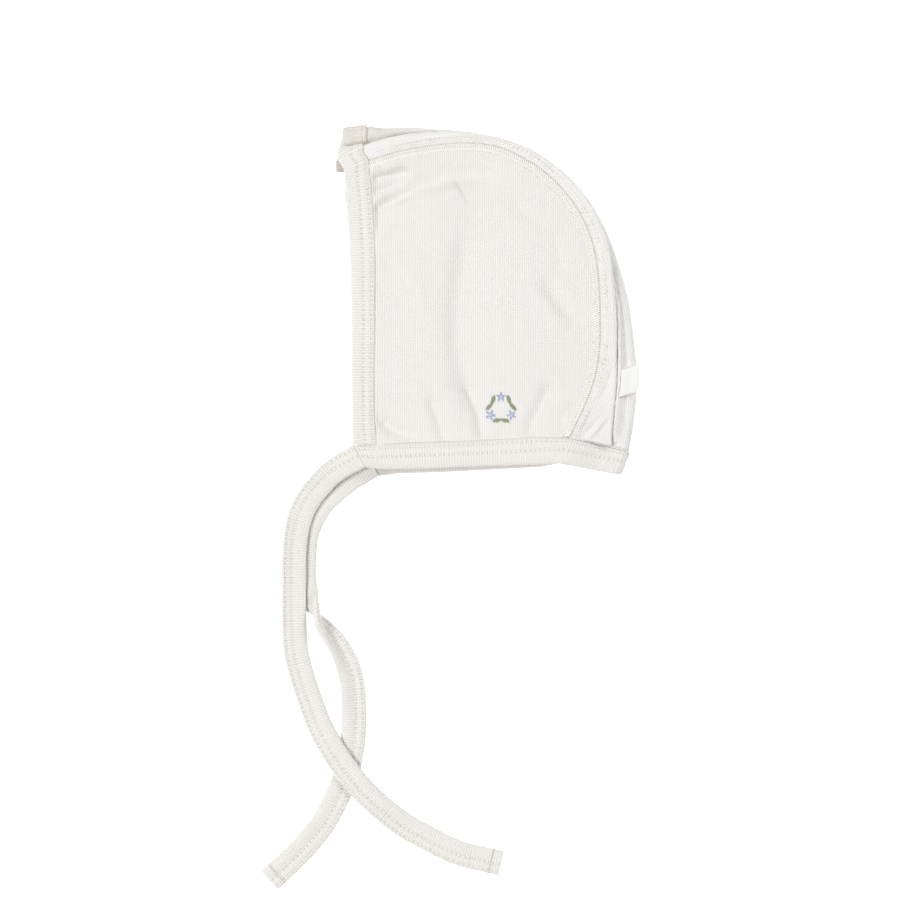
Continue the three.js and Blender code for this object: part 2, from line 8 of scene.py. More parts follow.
# %% Load the frame
import math
import bpy
import numpy as np
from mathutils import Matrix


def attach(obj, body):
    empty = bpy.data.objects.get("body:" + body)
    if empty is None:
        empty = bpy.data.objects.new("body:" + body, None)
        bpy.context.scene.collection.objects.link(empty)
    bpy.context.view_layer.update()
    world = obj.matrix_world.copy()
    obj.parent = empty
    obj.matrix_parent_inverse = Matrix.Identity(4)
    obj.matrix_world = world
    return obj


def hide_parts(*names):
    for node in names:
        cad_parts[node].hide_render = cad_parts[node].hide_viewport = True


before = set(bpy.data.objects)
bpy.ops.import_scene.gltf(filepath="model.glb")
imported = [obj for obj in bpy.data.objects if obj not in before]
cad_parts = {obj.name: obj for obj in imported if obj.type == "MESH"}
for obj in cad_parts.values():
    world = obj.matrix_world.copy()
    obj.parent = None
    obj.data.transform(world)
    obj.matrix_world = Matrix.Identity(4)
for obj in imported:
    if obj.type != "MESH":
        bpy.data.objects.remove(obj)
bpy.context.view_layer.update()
print("nodes:", sorted(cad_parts))

# %% [markdown]
# ## The camera
# The photo looks straight down at the bonnet on a table. A very long lens high above it keeps
# the outline almost free of perspective. The scale is 0.46 mm for each pixel of the photo, and
# the frame's origin is the pixel at (485, 300), so the middle of the picture follows from those.

# %% Camera straight above
PIXEL = 0.00046
ORIGIN_PIXEL = (485, 300)
PHOTO_PIXELS = 900
CLOTH_TOP = 0.009
CAMERA_HEIGHT = 8.0
SENSOR_MM = 36


def place_object(name, data):
    """A new object in the scene."""
    placed = bpy.data.objects.new(name, data)
    bpy.context.scene.collection.objects.link(placed)
    return placed


def from_pixel(across, down):
    """Where a pixel of the photo lies in the frame."""
    return (across - ORIGIN_PIXEL[0]) * PIXEL, (ORIGIN_PIXEL[1] - down) * PIXEL


camera_data = bpy.data.cameras.new("camera_above")
camera_data.sensor_width = SENSOR_MM
camera_data.lens = SENSOR_MM * (CAMERA_HEIGHT - CLOTH_TOP) / (PHOTO_PIXELS * PIXEL)
camera = place_object("camera_above", camera_data)
camera.location = (*from_pixel(PHOTO_PIXELS / 2, PHOTO_PIXELS / 2), CAMERA_HEIGHT)
bpy.context.scene.camera = camera
print("lens in mm:", round(camera_data.lens, 1))

# %% [markdown]
# ## Reading a table as a smooth line
# Each shape follows a short table with a row for every station along it. A Hermite curve through
# the rows gives any place between two of them, so a few rows carry a whole edge. The same rule
# is used in the CAD source, so cloth and solid keep to one line.

# %% Table reader and small functions
MM = 0.001


def read_table(rows, at):
    """The table's columns at fractional row numbers."""
    rows = np.asarray(rows, float)
    last = len(rows) - 1
    at = np.clip(np.asarray(at, float), 0, last)
    row = np.minimum(np.floor(at).astype(int), last - 1)
    t = (at - row)[..., None]
    a, b = rows[row], rows[row + 1]
    before = rows[np.maximum(row - 1, 0)]
    after = rows[np.minimum(row + 2, last)]
    slope_a = (b - before) / np.where(row > 0, 2, 1)[..., None]
    slope_b = (after - a) / np.where(row < last - 1, 2, 1)[..., None]
    t2, t3 = t * t, t * t * t
    return (
        (2 * t3 - 3 * t2 + 1) * a + (t3 - 2 * t2 + t) * slope_a
        + (3 * t2 - 2 * t3) * b + (t3 - t2) * slope_b
    )


def path_distance(x, y, path):
    """Distance from points to a path of straight pieces, how far along it and on which side."""
    best = np.full(np.shape(x), np.inf)
    along = np.zeros(np.shape(x))
    side = np.zeros(np.shape(x))
    for i, ((ax, ay), (bx, by)) in enumerate(zip(path, path[1:])):
        squared = (bx - ax) ** 2 + (by - ay) ** 2
        t = np.clip(((x - ax) * (bx - ax) + (y - ay) * (by - ay)) / squared, 0, 1)
        distance = np.hypot(x - ax - (bx - ax) * t, y - ay - (by - ay) * t)
        nearer = distance < best
        best = np.where(nearer, distance, best)
        along = np.where(nearer, (i + t) / (len(path) - 1), along)
        leftward = ((bx - ax) * (y - ay) - (by - ay) * (x - ax)) / math.sqrt(squared)
        side = np.where(nearer, leftward / np.maximum(distance, 1e-6), side)
    return best, along, side


def smooth(t):
    """A soft step that goes from 0 to 1 as t does."""
    t = np.clip(t, 0, 1)
    return t * t * (3 - 2 * t)


def hill(distance, half):
    """A bell that is 1 at no distance and has fallen to about a third at its half width."""
    return np.exp(-((distance / half) ** 2))


def ribbing(turns):
    """A wave from 0 to 1 that has a crest at every whole number."""
    return 0.5 + 0.5 * np.cos(2 * math.pi * turns)


def unit(vectors):
    """The directions of vectors, each with a length of one."""
    return vectors / np.linalg.norm(vectors, axis=-1, keepdims=True)


def lengths_along(points):
    """Length from the first point to each of the others."""
    steps = np.linalg.norm(np.diff(points, axis=0), axis=1)
    return np.concatenate([[0], np.cumsum(steps)])


def line_at(line, travelled, wanted):
    """A line's columns at the wanted lengths along it."""
    return np.stack([np.interp(wanted, travelled, column) for column in line.T], axis=-1)


# %% [markdown]
# ## A body from rings
# Every cloth piece is a row of rings with the same number of corners: the outer side runs one way
# and the inner side runs back beside it. Joining ring to ring gives the skin, and a ladder of
# faces or a single face closes each end. Every point also keeps its place in the knit as a UV,
# counted in ribs and rows of stitches, so the stitches follow the cloth round every fold.

# %% Mesh builders
LOWEST = 0.00002
KNIT_ROW = 0.0009


def add_mesh(name, points, faces, knit_place=None, attributes=None):
    """A smooth mesh object, kept just above the table."""
    points[:, 2] = np.maximum(points[:, 2], LOWEST)
    mesh = bpy.data.meshes.new(name)
    mesh.from_pydata(points.tolist(), [], faces)
    if knit_place is not None:
        corner_points = np.empty(len(mesh.loops), int)
        mesh.loops.foreach_get("vertex_index", corner_points)
        layer = mesh.uv_layers.new(name="knit")
        layer.data.foreach_set("uv", knit_place[corner_points].astype(np.float32).ravel())
    for key, values in (attributes or {}).items():
        attribute = mesh.attributes.new(key, "FLOAT", "POINT")
        attribute.data.foreach_set("value", values.astype(np.float32).ravel())
    mesh.update()
    mesh.validate()
    mesh.polygons.foreach_set("use_smooth", np.ones(len(mesh.polygons), bool))
    print(name, "triangles:", sum(len(face) - 2 for face in faces))
    return place_object(name, mesh)


def skin_faces(index):
    """Faces from ring to closed ring, where index holds the rings' corner numbers."""
    onward = np.roll(index, -1, axis=-1)
    corners = [index[..., :-1, :], onward[..., :-1, :], onward[..., 1:, :], index[..., 1:, :]]
    return np.stack(corners, axis=-1).reshape(-1, 4)


def outward_turn(points, quads):
    """1 where the skin of a body points outwards as it is, and -1 where it has to turn round."""
    a, b, c, d = (points[quads[:, i]] for i in range(4))
    volume = np.einsum("ij,ij->i", a, np.cross(b, c) + np.cross(c, d)).sum()
    return 1 if volume > 0 else -1


def ring_body(name, rings, knit_place, attributes=None, laddered=True):
    """A closed body from rings. A ladder of faces, or else one face, shuts each end."""
    count, corners = rings.shape[:2]
    index = np.arange(count * corners).reshape(count, corners)
    points = rings.reshape(-1, 3)
    skin = skin_faces(index)
    low = np.arange(corners // 2 - 1)
    high = corners - 1 - low
    end = np.arange(corners)[None]
    if laddered:
        end = np.stack([low, low + 1, high - 1, high], axis=-1)
    turn = outward_turn(points, skin)
    ends = [face[::turn].tolist() for face in (*index[0][end][:, ::-1], *index[-1][end])]
    faces = skin[:, ::turn].tolist() + ends
    return add_mesh(name, points, faces, knit_place.reshape(-1, 2), attributes)


def both_sides(outer, inner=None):
    """Rings of values that run along the outer side and back along the inner one."""
    inner = outer if inner is None else inner
    return np.concatenate([outer, inner[:, ::-1]], axis=1)


def knit_grid(ribs, rows):
    """Each corner's place in the knit, counted in ribs and rows of stitches."""
    return np.stack(np.broadcast_arrays(ribs, rows), axis=-1)


def dress(piece, material, node=None):
    """Gives a piece its material and body, and takes the place of the solid it stands for."""
    piece.data.materials.append(material)
    if node is not None:
        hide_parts(node)
    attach(piece, "root")
    return piece


# %% [markdown]
# ## Node trees written as sums
# A shader is a small sum over the surface, so this class lets it be written as one: a wire holds
# a socket, and +, - and * on wires add the Math nodes. Any other node comes from `node`, which
# takes its type, its settings and what its sockets are given.

# %% Shader wires
class Wire:
    def __init__(self, tree, socket):
        self.tree = tree
        self.socket = socket

    def node(self, kind, settings=None, inputs=None, output=0):
        made = self.tree.nodes.new(kind)
        for key, value in (settings or {}).items():
            setattr(made, key, value)
        for key, value in (inputs or {}).items():
            if isinstance(value, Wire):
                self.tree.links.new(value.socket, made.inputs[key])
            else:
                made.inputs[key].default_value = value
        return Wire(self.tree, made.outputs[output]) if len(made.outputs) else None

    def maths(self, operation, *others):
        inputs = dict(enumerate((self, *others)))
        return self.node("ShaderNodeMath", {"operation": operation}, inputs)

    def __add__(self, other):
        return self.maths("ADD", other)

    def __sub__(self, other):
        return self.maths("SUBTRACT", other)

    def __rsub__(self, other):
        return self.node("ShaderNodeMath", {"operation": "SUBTRACT"}, {0: other, 1: self})

    def __mul__(self, other):
        return self.maths("MULTIPLY", other)

    __radd__ = __add__
    __rmul__ = __mul__

    def blend(self, first, second):
        """A mix of two colours by this wire."""
        settings = {"data_type": "RGBA", "clamp_factor": True}
        return self.node("ShaderNodeMix", settings, {0: self, 6: first, 7: second}, output=2)

    def attribute(self, name):
        return self.node("ShaderNodeAttribute", {"attribute_name": name}, output=2)

    def noise(self, scale, detail):
        return self.node("ShaderNodeTexNoise", None, {"Scale": scale, "Detail": detail})

    def bump(self, strength, distance, height):
        inputs = {"Strength": strength, "Distance": distance, "Height": height}
        return self.node("ShaderNodeBump", None, inputs)


def linear(red, green, blue):
    """A colour read from the photo as 0 to 255, turned to the shader's linear values."""
    values = [channel / 255 for channel in (red, green, blue)]
    values = [v / 12.92 if v <= 0.04045 else ((v + 0.055) / 1.055) ** 2.4 for v in values]
    return (*values, 1)


def new_material(name):
    material = bpy.data.materials.new(name)
    material.use_nodes = True
    material.node_tree.nodes.clear()
    return material, Wire(material.node_tree, None)


def finish_material(wire, colour, roughness, specular, inputs):
    """Ends a material with its shader; inputs holds what only some materials set."""
    common = {"Base Color": colour, "Roughness": roughness, "Specular IOR Level": specular}
    shader = wire.node("ShaderNodeBsdfPrincipled", None, {**common, **inputs})
    wire.node("ShaderNodeOutputMaterial", None, {"Surface": shader})


# %% [markdown]
# ## Rib knit and thread
# Fine rib has a column of small V-shaped stitches on each rib, and the cloth between two ribs
# lies in shade. The ribs themselves are in the mesh. The V of each stitch is too small for that,
# so it is a bump, drawn from the knit's own UV: across a rib the row of stitches bends up like
# a V, and a sine along the rib repeats it. The colour is painted darker between the ribs, as
# shade where less light gets in, and drifts by a per cent or two over the cloth, as undyed cotton
# does. Each point also says how much of it is a needle hole, and that share turns a darker beige.
# The same beige is painted as shade on the seam lines, under the braid, along the tapes' inner
# edges and inner sides, and under the brow.

# %% Cloth materials
IVORY = linear(230.8, 230.4, 229.9)
IVORY_SHADE = linear(211, 208, 203)
TAPE_IVORY = linear(230.5, 229.7, 228)
TAPE_SHADE = linear(206, 202, 195)
HOLE_SHADE = linear(168, 152, 126)
WHITE_THREAD = linear(242, 240, 237)
INK_BLUE = linear(138, 152, 190)
INK_GREEN = linear(112, 126, 88)
# how far ribs, slow drift and stitches change the colour between shade and light
RIB_TONE = 0.75
DRIFT_TONE = 0.2
STITCH_TONE = 0.05
STITCH_BEND = 0.9
STITCH_DEPTH = 0.0001
# scale and detail of the noise in the cotton's fuzz and in its slow drift
FUZZ = (2600.0, 3.0)
DRIFT = (38.0, 2.0)
INK_ON_CREST = 0.25
INK_IN_HOLLOW = 0.72
TWIST_SCALE = 900.0
TWIST_DEPTH = 0.00005


def knit_material(name, light, shade, printed=False):
    """Rib knit whose painted light and shade, needle holes and ink are read from the mesh."""
    material, wire = new_material(name)
    place = wire.node("ShaderNodeUVMap", {"uv_map": "knit"})
    rib = wire.node("ShaderNodeSeparateXYZ", None, {0: place})
    row = Wire(wire.tree, rib.socket.node.outputs[1])
    across = (rib.maths("FRACT") - 0.5).maths("ABSOLUTE")
    stitch = ((row + across * STITCH_BEND) * (2 * math.pi)).maths("SINE")
    # the "rib" attribute paints shade in the rib hollows and at the seams, brow and inner sides
    relief = wire.attribute("rib")
    drift = (wire.noise(*DRIFT) - 0.5) * DRIFT_TONE
    light_share = relief * RIB_TONE + (1 - RIB_TONE) + drift + stitch * STITCH_TONE
    colour = light_share.maths("MINIMUM", 1.0).blend(shade, light)
    if printed:
        for key, ink in (("ink_blue", INK_BLUE), ("ink_green", INK_GREEN)):
            amount = wire.attribute(key) * (relief * INK_ON_CREST + INK_IN_HOLLOW)
            colour = amount.blend(colour, ink)
    # the "hole" attribute: needle holes, and painted shade at seams, braid, tape edges and brow
    colour = wire.attribute("hole").blend(colour, HOLE_SHADE)
    bump = wire.bump(1.0, STITCH_DEPTH, stitch * 0.5 + wire.noise(*FUZZ) * 0.5)
    finish_material(wire, colour, 0.93, 0.2, {
        "Normal": bump, "Sheen Weight": 0.1, "Sheen Roughness": 0.5,
    })
    return material


def thread_material(name, colour):
    """Twisted cotton thread."""
    material, wire = new_material(name)
    place = wire.node("ShaderNodeTexCoord", output=3)
    twist = wire.node(
        "ShaderNodeTexWave", {"bands_direction": "DIAGONAL"},
        {"Vector": place, "Scale": TWIST_SCALE, "Distortion": 1.5},
    )
    paler = (twist * 0.35 + 0.65).blend(IVORY_SHADE, colour)
    bump = wire.bump(0.6, TWIST_DEPTH, twist)
    finish_material(wire, paler, 0.7, 0.3, {"Normal": bump, "Sheen Weight": 0.1})
    return material


panel_knit = knit_material("rib_knit", IVORY, IVORY_SHADE)
printed_knit = knit_material("rib_knit_printed", IVORY, IVORY_SHADE, printed=True)
tape_knit = knit_material("rib_tape_knit", TAPE_IVORY, TAPE_SHADE)
sewing_thread = thread_material("sewing_thread", WHITE_THREAD)
print("materials:", len(bpy.data.materials))

# %% [markdown]
# ## The ties
# Each tie is the same rib tape as the binding, sewn shut with nothing inside: a flat ribbon about
# 11.5 mm wide and 2.2 mm thick. Its route is the list of points that the CAD uses. The width can
# cup, and one tie turns over once. Ribs run across it. Two rows of stitches press one half of it
# flat, and the half with the folded edge stays plump. Its end is turned in and hemmed, and at its
# root its rows of stitches run on from those of the neck binding.

# %% Section of the folded tape
TAPE_RIB = 0.00125
TAPE_WIDTH = 0.0115
TAPE_RELIEF = 0.0003
BAND_ROWS = (0.51, 0.85)
TIE_ROWS = (0.58, 0.88)
BAND_SWELL = 0.0001
TIE_SWELL = 0.00055
STITCH = 0.0022
EDGE_SHARES = [0.0, 0.008, 0.03, 0.07, 0.13]
PLAIN_SHARES = {0.2, 0.28, 0.35, 0.42, 0.7}
ROUND_TO = 0.1
# the press of the stitches, the plump half beside them and the soft bar between them
GROOVE = {"half": 0.0005, "deep": 0.00022, "needle": 0.00022, "shade": 0.4}
PLUMP = {"at": 0.26, "half": 0.17}
BAR = {"rise": 0.00016, "half": 0.09}
SEWN_FLAT = {"fall": 0.00014, "before": 0.03, "over": 0.06}
TAPE_UNEVEN = {"rise": 0.00008, "wave": 0.0093, "slow_wave": 0.0151, "slant": 5}
# needle holes along the rows, and a little painted shade in the hole beige along their grooves
HOLES = {"groove": 0.06, "needle": 0.4}
# the plump half, by its folded edge, is painted darker, as shade on its rounded side
PLUMP_LIGHT_SHARE = 0.8
# painted shade under the brow: its pull on the ribs' light and the hole beige, and where it lies
BROW = {"rib": 0.6, "hole": 0.1, "top": 0.012, "floor": 0.003, "x": -0.028, "y": 0.0655}
BROW_FADE = {"x": 0.018, "y": 0.004, "z": 0.002}


def section_shares(rows, last):
    """Shares of the tape's width where its section has points, closest at the stitches."""
    beside = [round(row + step * 0.045, 3) for row in rows for step in (-2, -1, 0, 1, 2)]
    return EDGE_SHARES + sorted(share for share in PLAIN_SHARES.union(beside) if share < last)


def edge_rounding(share):
    """How far the tape has opened from its edge to its full thickness, as a quarter circle."""
    return math.sqrt(1 - (1 - min(1, share / ROUND_TO)) ** 2)


def tape_relief(share, travelled, rows, swell):
    """Relief of the tape at one share of its width, its painted shade, and its needle holes."""
    wave = ribbing(travelled / TAPE_RIB)
    needle = ribbing(travelled / STITCH) ** 4
    groove = sum(hill((share - row) * TAPE_WIDTH, GROOVE["half"]) for row in rows)
    plump = swell * hill(share - PLUMP["at"], PLUMP["half"])
    plump = plump + BAR["rise"] * hill(share - sum(rows) / 2, BAR["half"])
    sewn = (share - rows[0] + SEWN_FLAT["before"]) / SEWN_FLAT["over"]
    plump = plump - SEWN_FLAT["fall"] * smooth(sewn)
    uneven = np.sin(travelled / TAPE_UNEVEN["wave"] + share * TAPE_UNEVEN["slant"])
    uneven = TAPE_UNEVEN["rise"] * uneven * np.sin(travelled / TAPE_UNEVEN["slow_wave"])
    press = groove * (GROOVE["deep"] + GROOVE["needle"] * needle)
    # painted shade in the rib hollows and grooves, and on the plump half by the folded edge
    light_share = np.clip(wave ** 0.6 * (1 - GROOVE["shade"] * groove), 0, 1)
    light_share = light_share * (PLUMP_LIGHT_SHARE + (1 - PLUMP_LIGHT_SHARE) * smooth(share / 0.5))
    hole = groove * (HOLES["groove"] + HOLES["needle"] * needle)
    return plump + uneven + TAPE_RELIEF * wave - press, light_share, hole


def brow_shade(points):
    """How far the lower layers at the brow lie in the shade of the upper ones, from 0 to 1."""
    x, y, z = points[..., 0], points[..., 1], points[..., 2]
    low = smooth((BROW["top"] - z) / BROW_FADE["z"]) * smooth((z - BROW["floor"]) / BROW_FADE["z"])
    inwards = smooth((BROW["x"] - x) / BROW_FADE["x"]) * smooth((y - BROW["y"]) / BROW_FADE["y"])
    return inwards * low


def tape_body(name, node, travelled, corners, laddered):
    """A body of tape from lines of corners, each with its share, painted shade and needle holes."""
    points, shares, light_share, holes = zip(*corners)
    rings = np.stack(points, axis=1)
    shade = brow_shade(rings)
    attributes = {
        "rib": np.stack(light_share, axis=1) * (1 - BROW["rib"] * shade),
        "hole": np.maximum(np.stack(holes, axis=1), BROW["hole"] * shade),
    }
    rows = np.array(shares) * TAPE_WIDTH / KNIT_ROW
    knit_place = knit_grid((travelled / TAPE_RIB)[:, None], rows)
    piece = ring_body(name, rings, knit_place, attributes, laddered)
    return dress(piece, tape_knit, node)


# %% Tie routes
TIE = {"thick": 0.0022, "root_extra": 0.0012, "root_reach": 0.009}
# x, y, z, cup and turn in degrees
NEAR_TIE_ROUTE = [
    (-0.0586, -0.0724, 0.0106, 0, 0),
    (-0.0653, -0.0759, 0.0099, 0, 0),
    (-0.0713, -0.08, 0.0082, 8, 0),
    (-0.0757, -0.0846, 0.0066, 12, 0),
    (-0.0801, -0.09, 0.0052, 16, 0),
    (-0.0837, -0.0961, 0.0045, 24, 0),
    (-0.0861, -0.1029, 0.0042, 40, 0),
    (-0.0874, -0.1104, 0.0042, 55, 0),
    (-0.088, -0.1196, 0.0042, 64, 0),
    (-0.088, -0.1288, 0.0045, 64, 0),
    (-0.088, -0.138, 0.0049, 56, 0),
    (-0.0879, -0.1472, 0.0044, 44, 0),
    (-0.0871, -0.161, 0.0028, 24, 0),
    (-0.0833, -0.1762, 0.0016, 10, 0),
    (-0.077, -0.1937, 0.0026, 4, 0),
    (-0.0727, -0.2024, 0.0037, 0, 0),
    (-0.0672, -0.2116, 0.0039, 0, 0),
    (-0.0599, -0.2213, 0.0038, 0, 0),
    (-0.0532, -0.2286, 0.0034, 0, 0),
    (-0.0445, -0.2363, 0.0024, 4, 0),
    (-0.0359, -0.2426, 0.0015, 6, 0),
    (-0.0271, -0.2474, 0.0013, 6, 0),
    (-0.0181, -0.252, 0.0013, 4, 0),
    (-0.0093, -0.2554, 0.0012, 0, 0),
    (0.0075, -0.2593, 0.0012, 0, 0),
]
FAR_TIE_ROUTE = [
    (-0.0524, -0.0763, 0.0019, 0, 0),
    (-0.0575, -0.0794, 0.0017, 0, 0),
    (-0.063, -0.0828, 0.0013, 0, 0),
    (-0.0722, -0.0904, 0.0012, 0, 0),
    (-0.0765, -0.0955, 0.0012, 0, 0),
    (-0.0803, -0.1023, 0.0012, 0, 0),
    (-0.0826, -0.1096, 0.0012, 0, 0),
    (-0.0836, -0.1233, 0.0012, 0, 0),
    (-0.083, -0.1312, 0.0019, 6, -7),
    (-0.0809, -0.1368, 0.0038, 26, -32),
    (-0.0788, -0.1414, 0.006, 44, -66),
    (-0.0774, -0.1452, 0.0066, 14, -90),
    (-0.0758, -0.1488, 0.0057, -60, -112),
    (-0.073, -0.1524, 0.0044, -90, -130),
    (-0.0694, -0.1569, 0.0039, -94, -146),
    (-0.0656, -0.163, 0.0033, -84, -159),
    (-0.0628, -0.1694, 0.0028, -64, -175),
    (-0.061, -0.1766, 0.0022, -52, -178),
    (-0.0603, -0.187, 0.002, -40, -180),
    (-0.0605, -0.1992, 0.0014, -12, -180),
    (-0.0616, -0.2079, 0.0012, 0, -180),
    (-0.0639, -0.2182, 0.0012, 0, -180),
    (-0.0703, -0.2334, 0.0012, 0, -180),
    (-0.076, -0.2429, 0.0012, 0, -180),
    (-0.0824, -0.2506, 0.0012, 0, -180),
    (-0.0891, -0.2576, 0.0012, 0, -180),
    (-0.0992, -0.2671, 0.0012, 0, -180),
]


# %% Ribbon along a route
FLATTEST_CUP = math.radians(1)
HEM = {"long": 0.0055, "fade": 0.0008, "rise": 0.00024}
# the row of stitches on the hem: its place as a share of the hem, and its groove and holes
HEM_ROW = {"at": 0.85, "press": 0.0003, "half": 0.0005, "hole": 0.45}
ROOT_OVERLAP = 0.0011
ROOT_BLEND = 0.02
TIE_OPENNESS = 0.92
SKIN_DEPTH = 0.00012


def route_lines(route, spacing):
    """Evenly spaced places along a route, with the directions along, across and over it."""
    dense = read_table(route, np.linspace(0, len(route) - 1, 4000))
    travelled = lengths_along(dense[:, :3])
    count = int(round(travelled[-1] / spacing)) + 1
    wanted = np.linspace(0, travelled[-1], count)
    rows = line_at(dense, travelled, wanted)
    along = unit(np.gradient(rows[:, :3], axis=0))
    side = unit(np.stack([along[:, 1], -along[:, 0], np.zeros(count)], axis=1))
    up = np.cross(side, along)
    spin = np.radians(rows[:, 4])[:, None]
    across = side * np.cos(spin) + up * np.sin(spin)
    over = up * np.cos(spin) - side * np.sin(spin)
    return wanted, rows, along, across, over


def ribbon_point(lines, share, offset):
    """Places on a ribbon: share runs over the width from -0.5 to 0.5, offset is off its middle."""
    rows, _, across, over = lines[1:]
    cup = np.radians(rows[:, 3])
    cup = np.where(np.abs(cup) < FLATTEST_CUP, FLATTEST_CUP, cup)
    curve = TAPE_WIDTH / cup
    settle = curve * (1 - np.sin(cup / 2) / (cup / 2))
    lean = cup * share
    sideways = (curve - offset) * np.sin(lean)
    rise = curve - (curve - offset) * np.cos(lean) - settle
    normal = over * np.cos(lean)[:, None] - across * np.sin(lean)[:, None]
    return rows[:, :3] + across * sideways[:, None] + over * rise[:, None], normal


def band_share(share, travelled):
    """Share of the width at which a row lies: at the root the rows meet those of the band."""
    at_root = np.interp(share, [0, *TIE_ROWS, 1], [0, *BAND_ROWS, 1])
    return share + (at_root - share) * (1 - smooth(travelled / ROOT_BLEND))


def half_thickness(travelled):
    """Half of a tie's thickness, which is a little more at its root."""
    return (TIE["thick"] + TIE["root_extra"] * np.exp(-travelled / TIE["root_reach"])) / 2


def make_tie(name, route, node):
    """One tie with ribs across it, grooves under its stitches and a hem at its end."""
    lines = route_lines(route, TAPE_RIB / 4)
    travelled, rows, along = lines[:3]
    to_end = travelled[-1] - travelled
    hem_line = hill(to_end - HEM["long"] * HEM_ROW["at"], HEM_ROW["half"])
    hem = HEM["rise"] * (1 - smooth((to_end - HEM["long"] + HEM["fade"] / 2) / HEM["fade"]))
    half = half_thickness(travelled) - SKIN_DEPTH + hem - HEM_ROW["press"] * hem_line
    like_band = 1 - smooth(travelled / ROOT_BLEND)
    swell = TIE_SWELL + (BAND_SWELL - TIE_SWELL) * like_band
    tone = TIE_OPENNESS + (1 - TIE_OPENNESS) * like_band
    shares = section_shares(TIE_ROWS, 0.9) + [1 - share * 0.75 for share in EDGE_SHARES[::-1]]
    corners = []
    for side in (1, -1):
        for share in shares[::side]:
            rise, light_share, hole = tape_relief(share, travelled, TIE_ROWS, swell)
            offset = side * (half + rise) * edge_rounding(min(share, 1 - share))
            points = ribbon_point(lines, band_share(share, travelled) - 0.5, offset)[0]
            points[0] -= along[0] * ROOT_OVERLAP
            hole = np.maximum(hole, HEM_ROW["hole"] * hem_line)
            corners.append((points, share, light_share * tone, hole))
    piece = tape_body(name, node, travelled, corners, laddered=True)
    return lines


near_tie_lines = make_tie("near_tie_tape", NEAR_TIE_ROUTE, "near_tie")
far_tie_lines = make_tie("far_tie_tape", FAR_TIE_ROUTE, "far_tie")

# %% [markdown]
# ## The shape of the bonnet as it lies
# The near panel is a gentle dome with folds, the far panel lies flat on the table, and the crown
# strip folds in between them like the gusset of a bag. These tables and heights are those of the
# CAD source, in metres, apart from the two rows before the nape, where the fold stays shut down
# to the neck binding. The fine creases are too small for the solids, so only the cloth has them.

# %% Tables of the strip and the tapes
KNIT = 0.0011
TAPE_WALL = 0.0009
PLAY = 0.0003
SLOT_HALF = KNIT / 2 + PLAY
TAPE_HALF = SLOT_HALF + TAPE_WALL
STRIP_WIDTH = 0.060
# seam x and y, fold x and y, far, turn, lean, lobe, angle in degrees, radius, far radius
STRIP_ROWS = np.array([
    (-0.0649, 0.0589, -0.0654, 0.0697, 0.0082, 0.021, 0.003, 0.0043, 180, 0.0021, 0.0021),
    (-0.0534, 0.0638, -0.0539, 0.0719, 0.0078, 0.02, 0.0024, 0.0014, 180, 0.0021, 0.0021),
    (-0.046, 0.0662, -0.0465, 0.0742, 0.0053, 0.0175, 0.0008, 0.0002, 180, 0.0022, 0.0021),
    (-0.0368, 0.0688, -0.0373, 0.0762, 0.0032, 0.0155, 0, 0, 180, 0.00195, 0.0021),
    (-0.0244, 0.0708, -0.0246, 0.0773, 0.0014, 0.0135, 0, 0, 180, 0.0017, 0.0022),
    (-0.0092, 0.072, -0.009, 0.0774, 0.0002, 0.013, 0, 0, 180, 0.0016, 0.0023),
    (0.006, 0.0702, 0.0076, 0.0744, -0.0003, 0.012, 0, 0, 180, 0.0015, 0.0025),
    (0.0207, 0.0632, 0.0237, 0.068, -0.001, 0.011, 0, 0, 180, 0.0014, 0.0028),
    (0.0336, 0.0529, 0.0379, 0.0572, -0.001, 0.01, 0, 0, 180, 0.0013, 0.0031),
    (0.0437, 0.0396, 0.0495, 0.0431, 0.0001, 0.0095, 0, 0, 180, 0.00125, 0.0032),
    (0.0497, 0.0248, 0.0559, 0.0268, 0.0021, 0.0102, 0, 0, 180, 0.00125, 0.0033),
    (0.052, 0.0101, 0.0589, 0.0109, 0.0042, 0.0109, 0, 0, 180, 0.00125, 0.0033),
    (0.0527, -0.0046, 0.0603, -0.0044, 0.0064, 0.0124, 0, 0, 180, 0.0013, 0.0033),
    (0.0527, -0.0193, 0.0608, -0.0202, 0.0081, 0.0138, 0, 0, 180, 0.00125, 0.0033),
    (0.0508, -0.0336, 0.0608, -0.0367, 0.0094, 0.0156, 0, 0, 180, 0.0012, 0.0033),
    (0.0465, -0.0465, 0.0594, -0.0514, 0.0099, 0.0179, 0, 0, 180, 0.0010, 0.0032),
    (0.0397, -0.0611, 0.0583, -0.0657, 0.0084, 0.0264, 0, 0, 160, 0.0007, 0.0026),
    (0.0382, -0.0634, 0.058, -0.0679, 0.0081, 0.0278, 0, 0, 0, 0.0021, 0.0022),
    (0.034, -0.0754, 0.0534, -0.0791, 0.0079, 0.0278, 0, 0, 0, 0.0021, 0.0021),
])
LAST_ROW = len(STRIP_ROWS) - 1
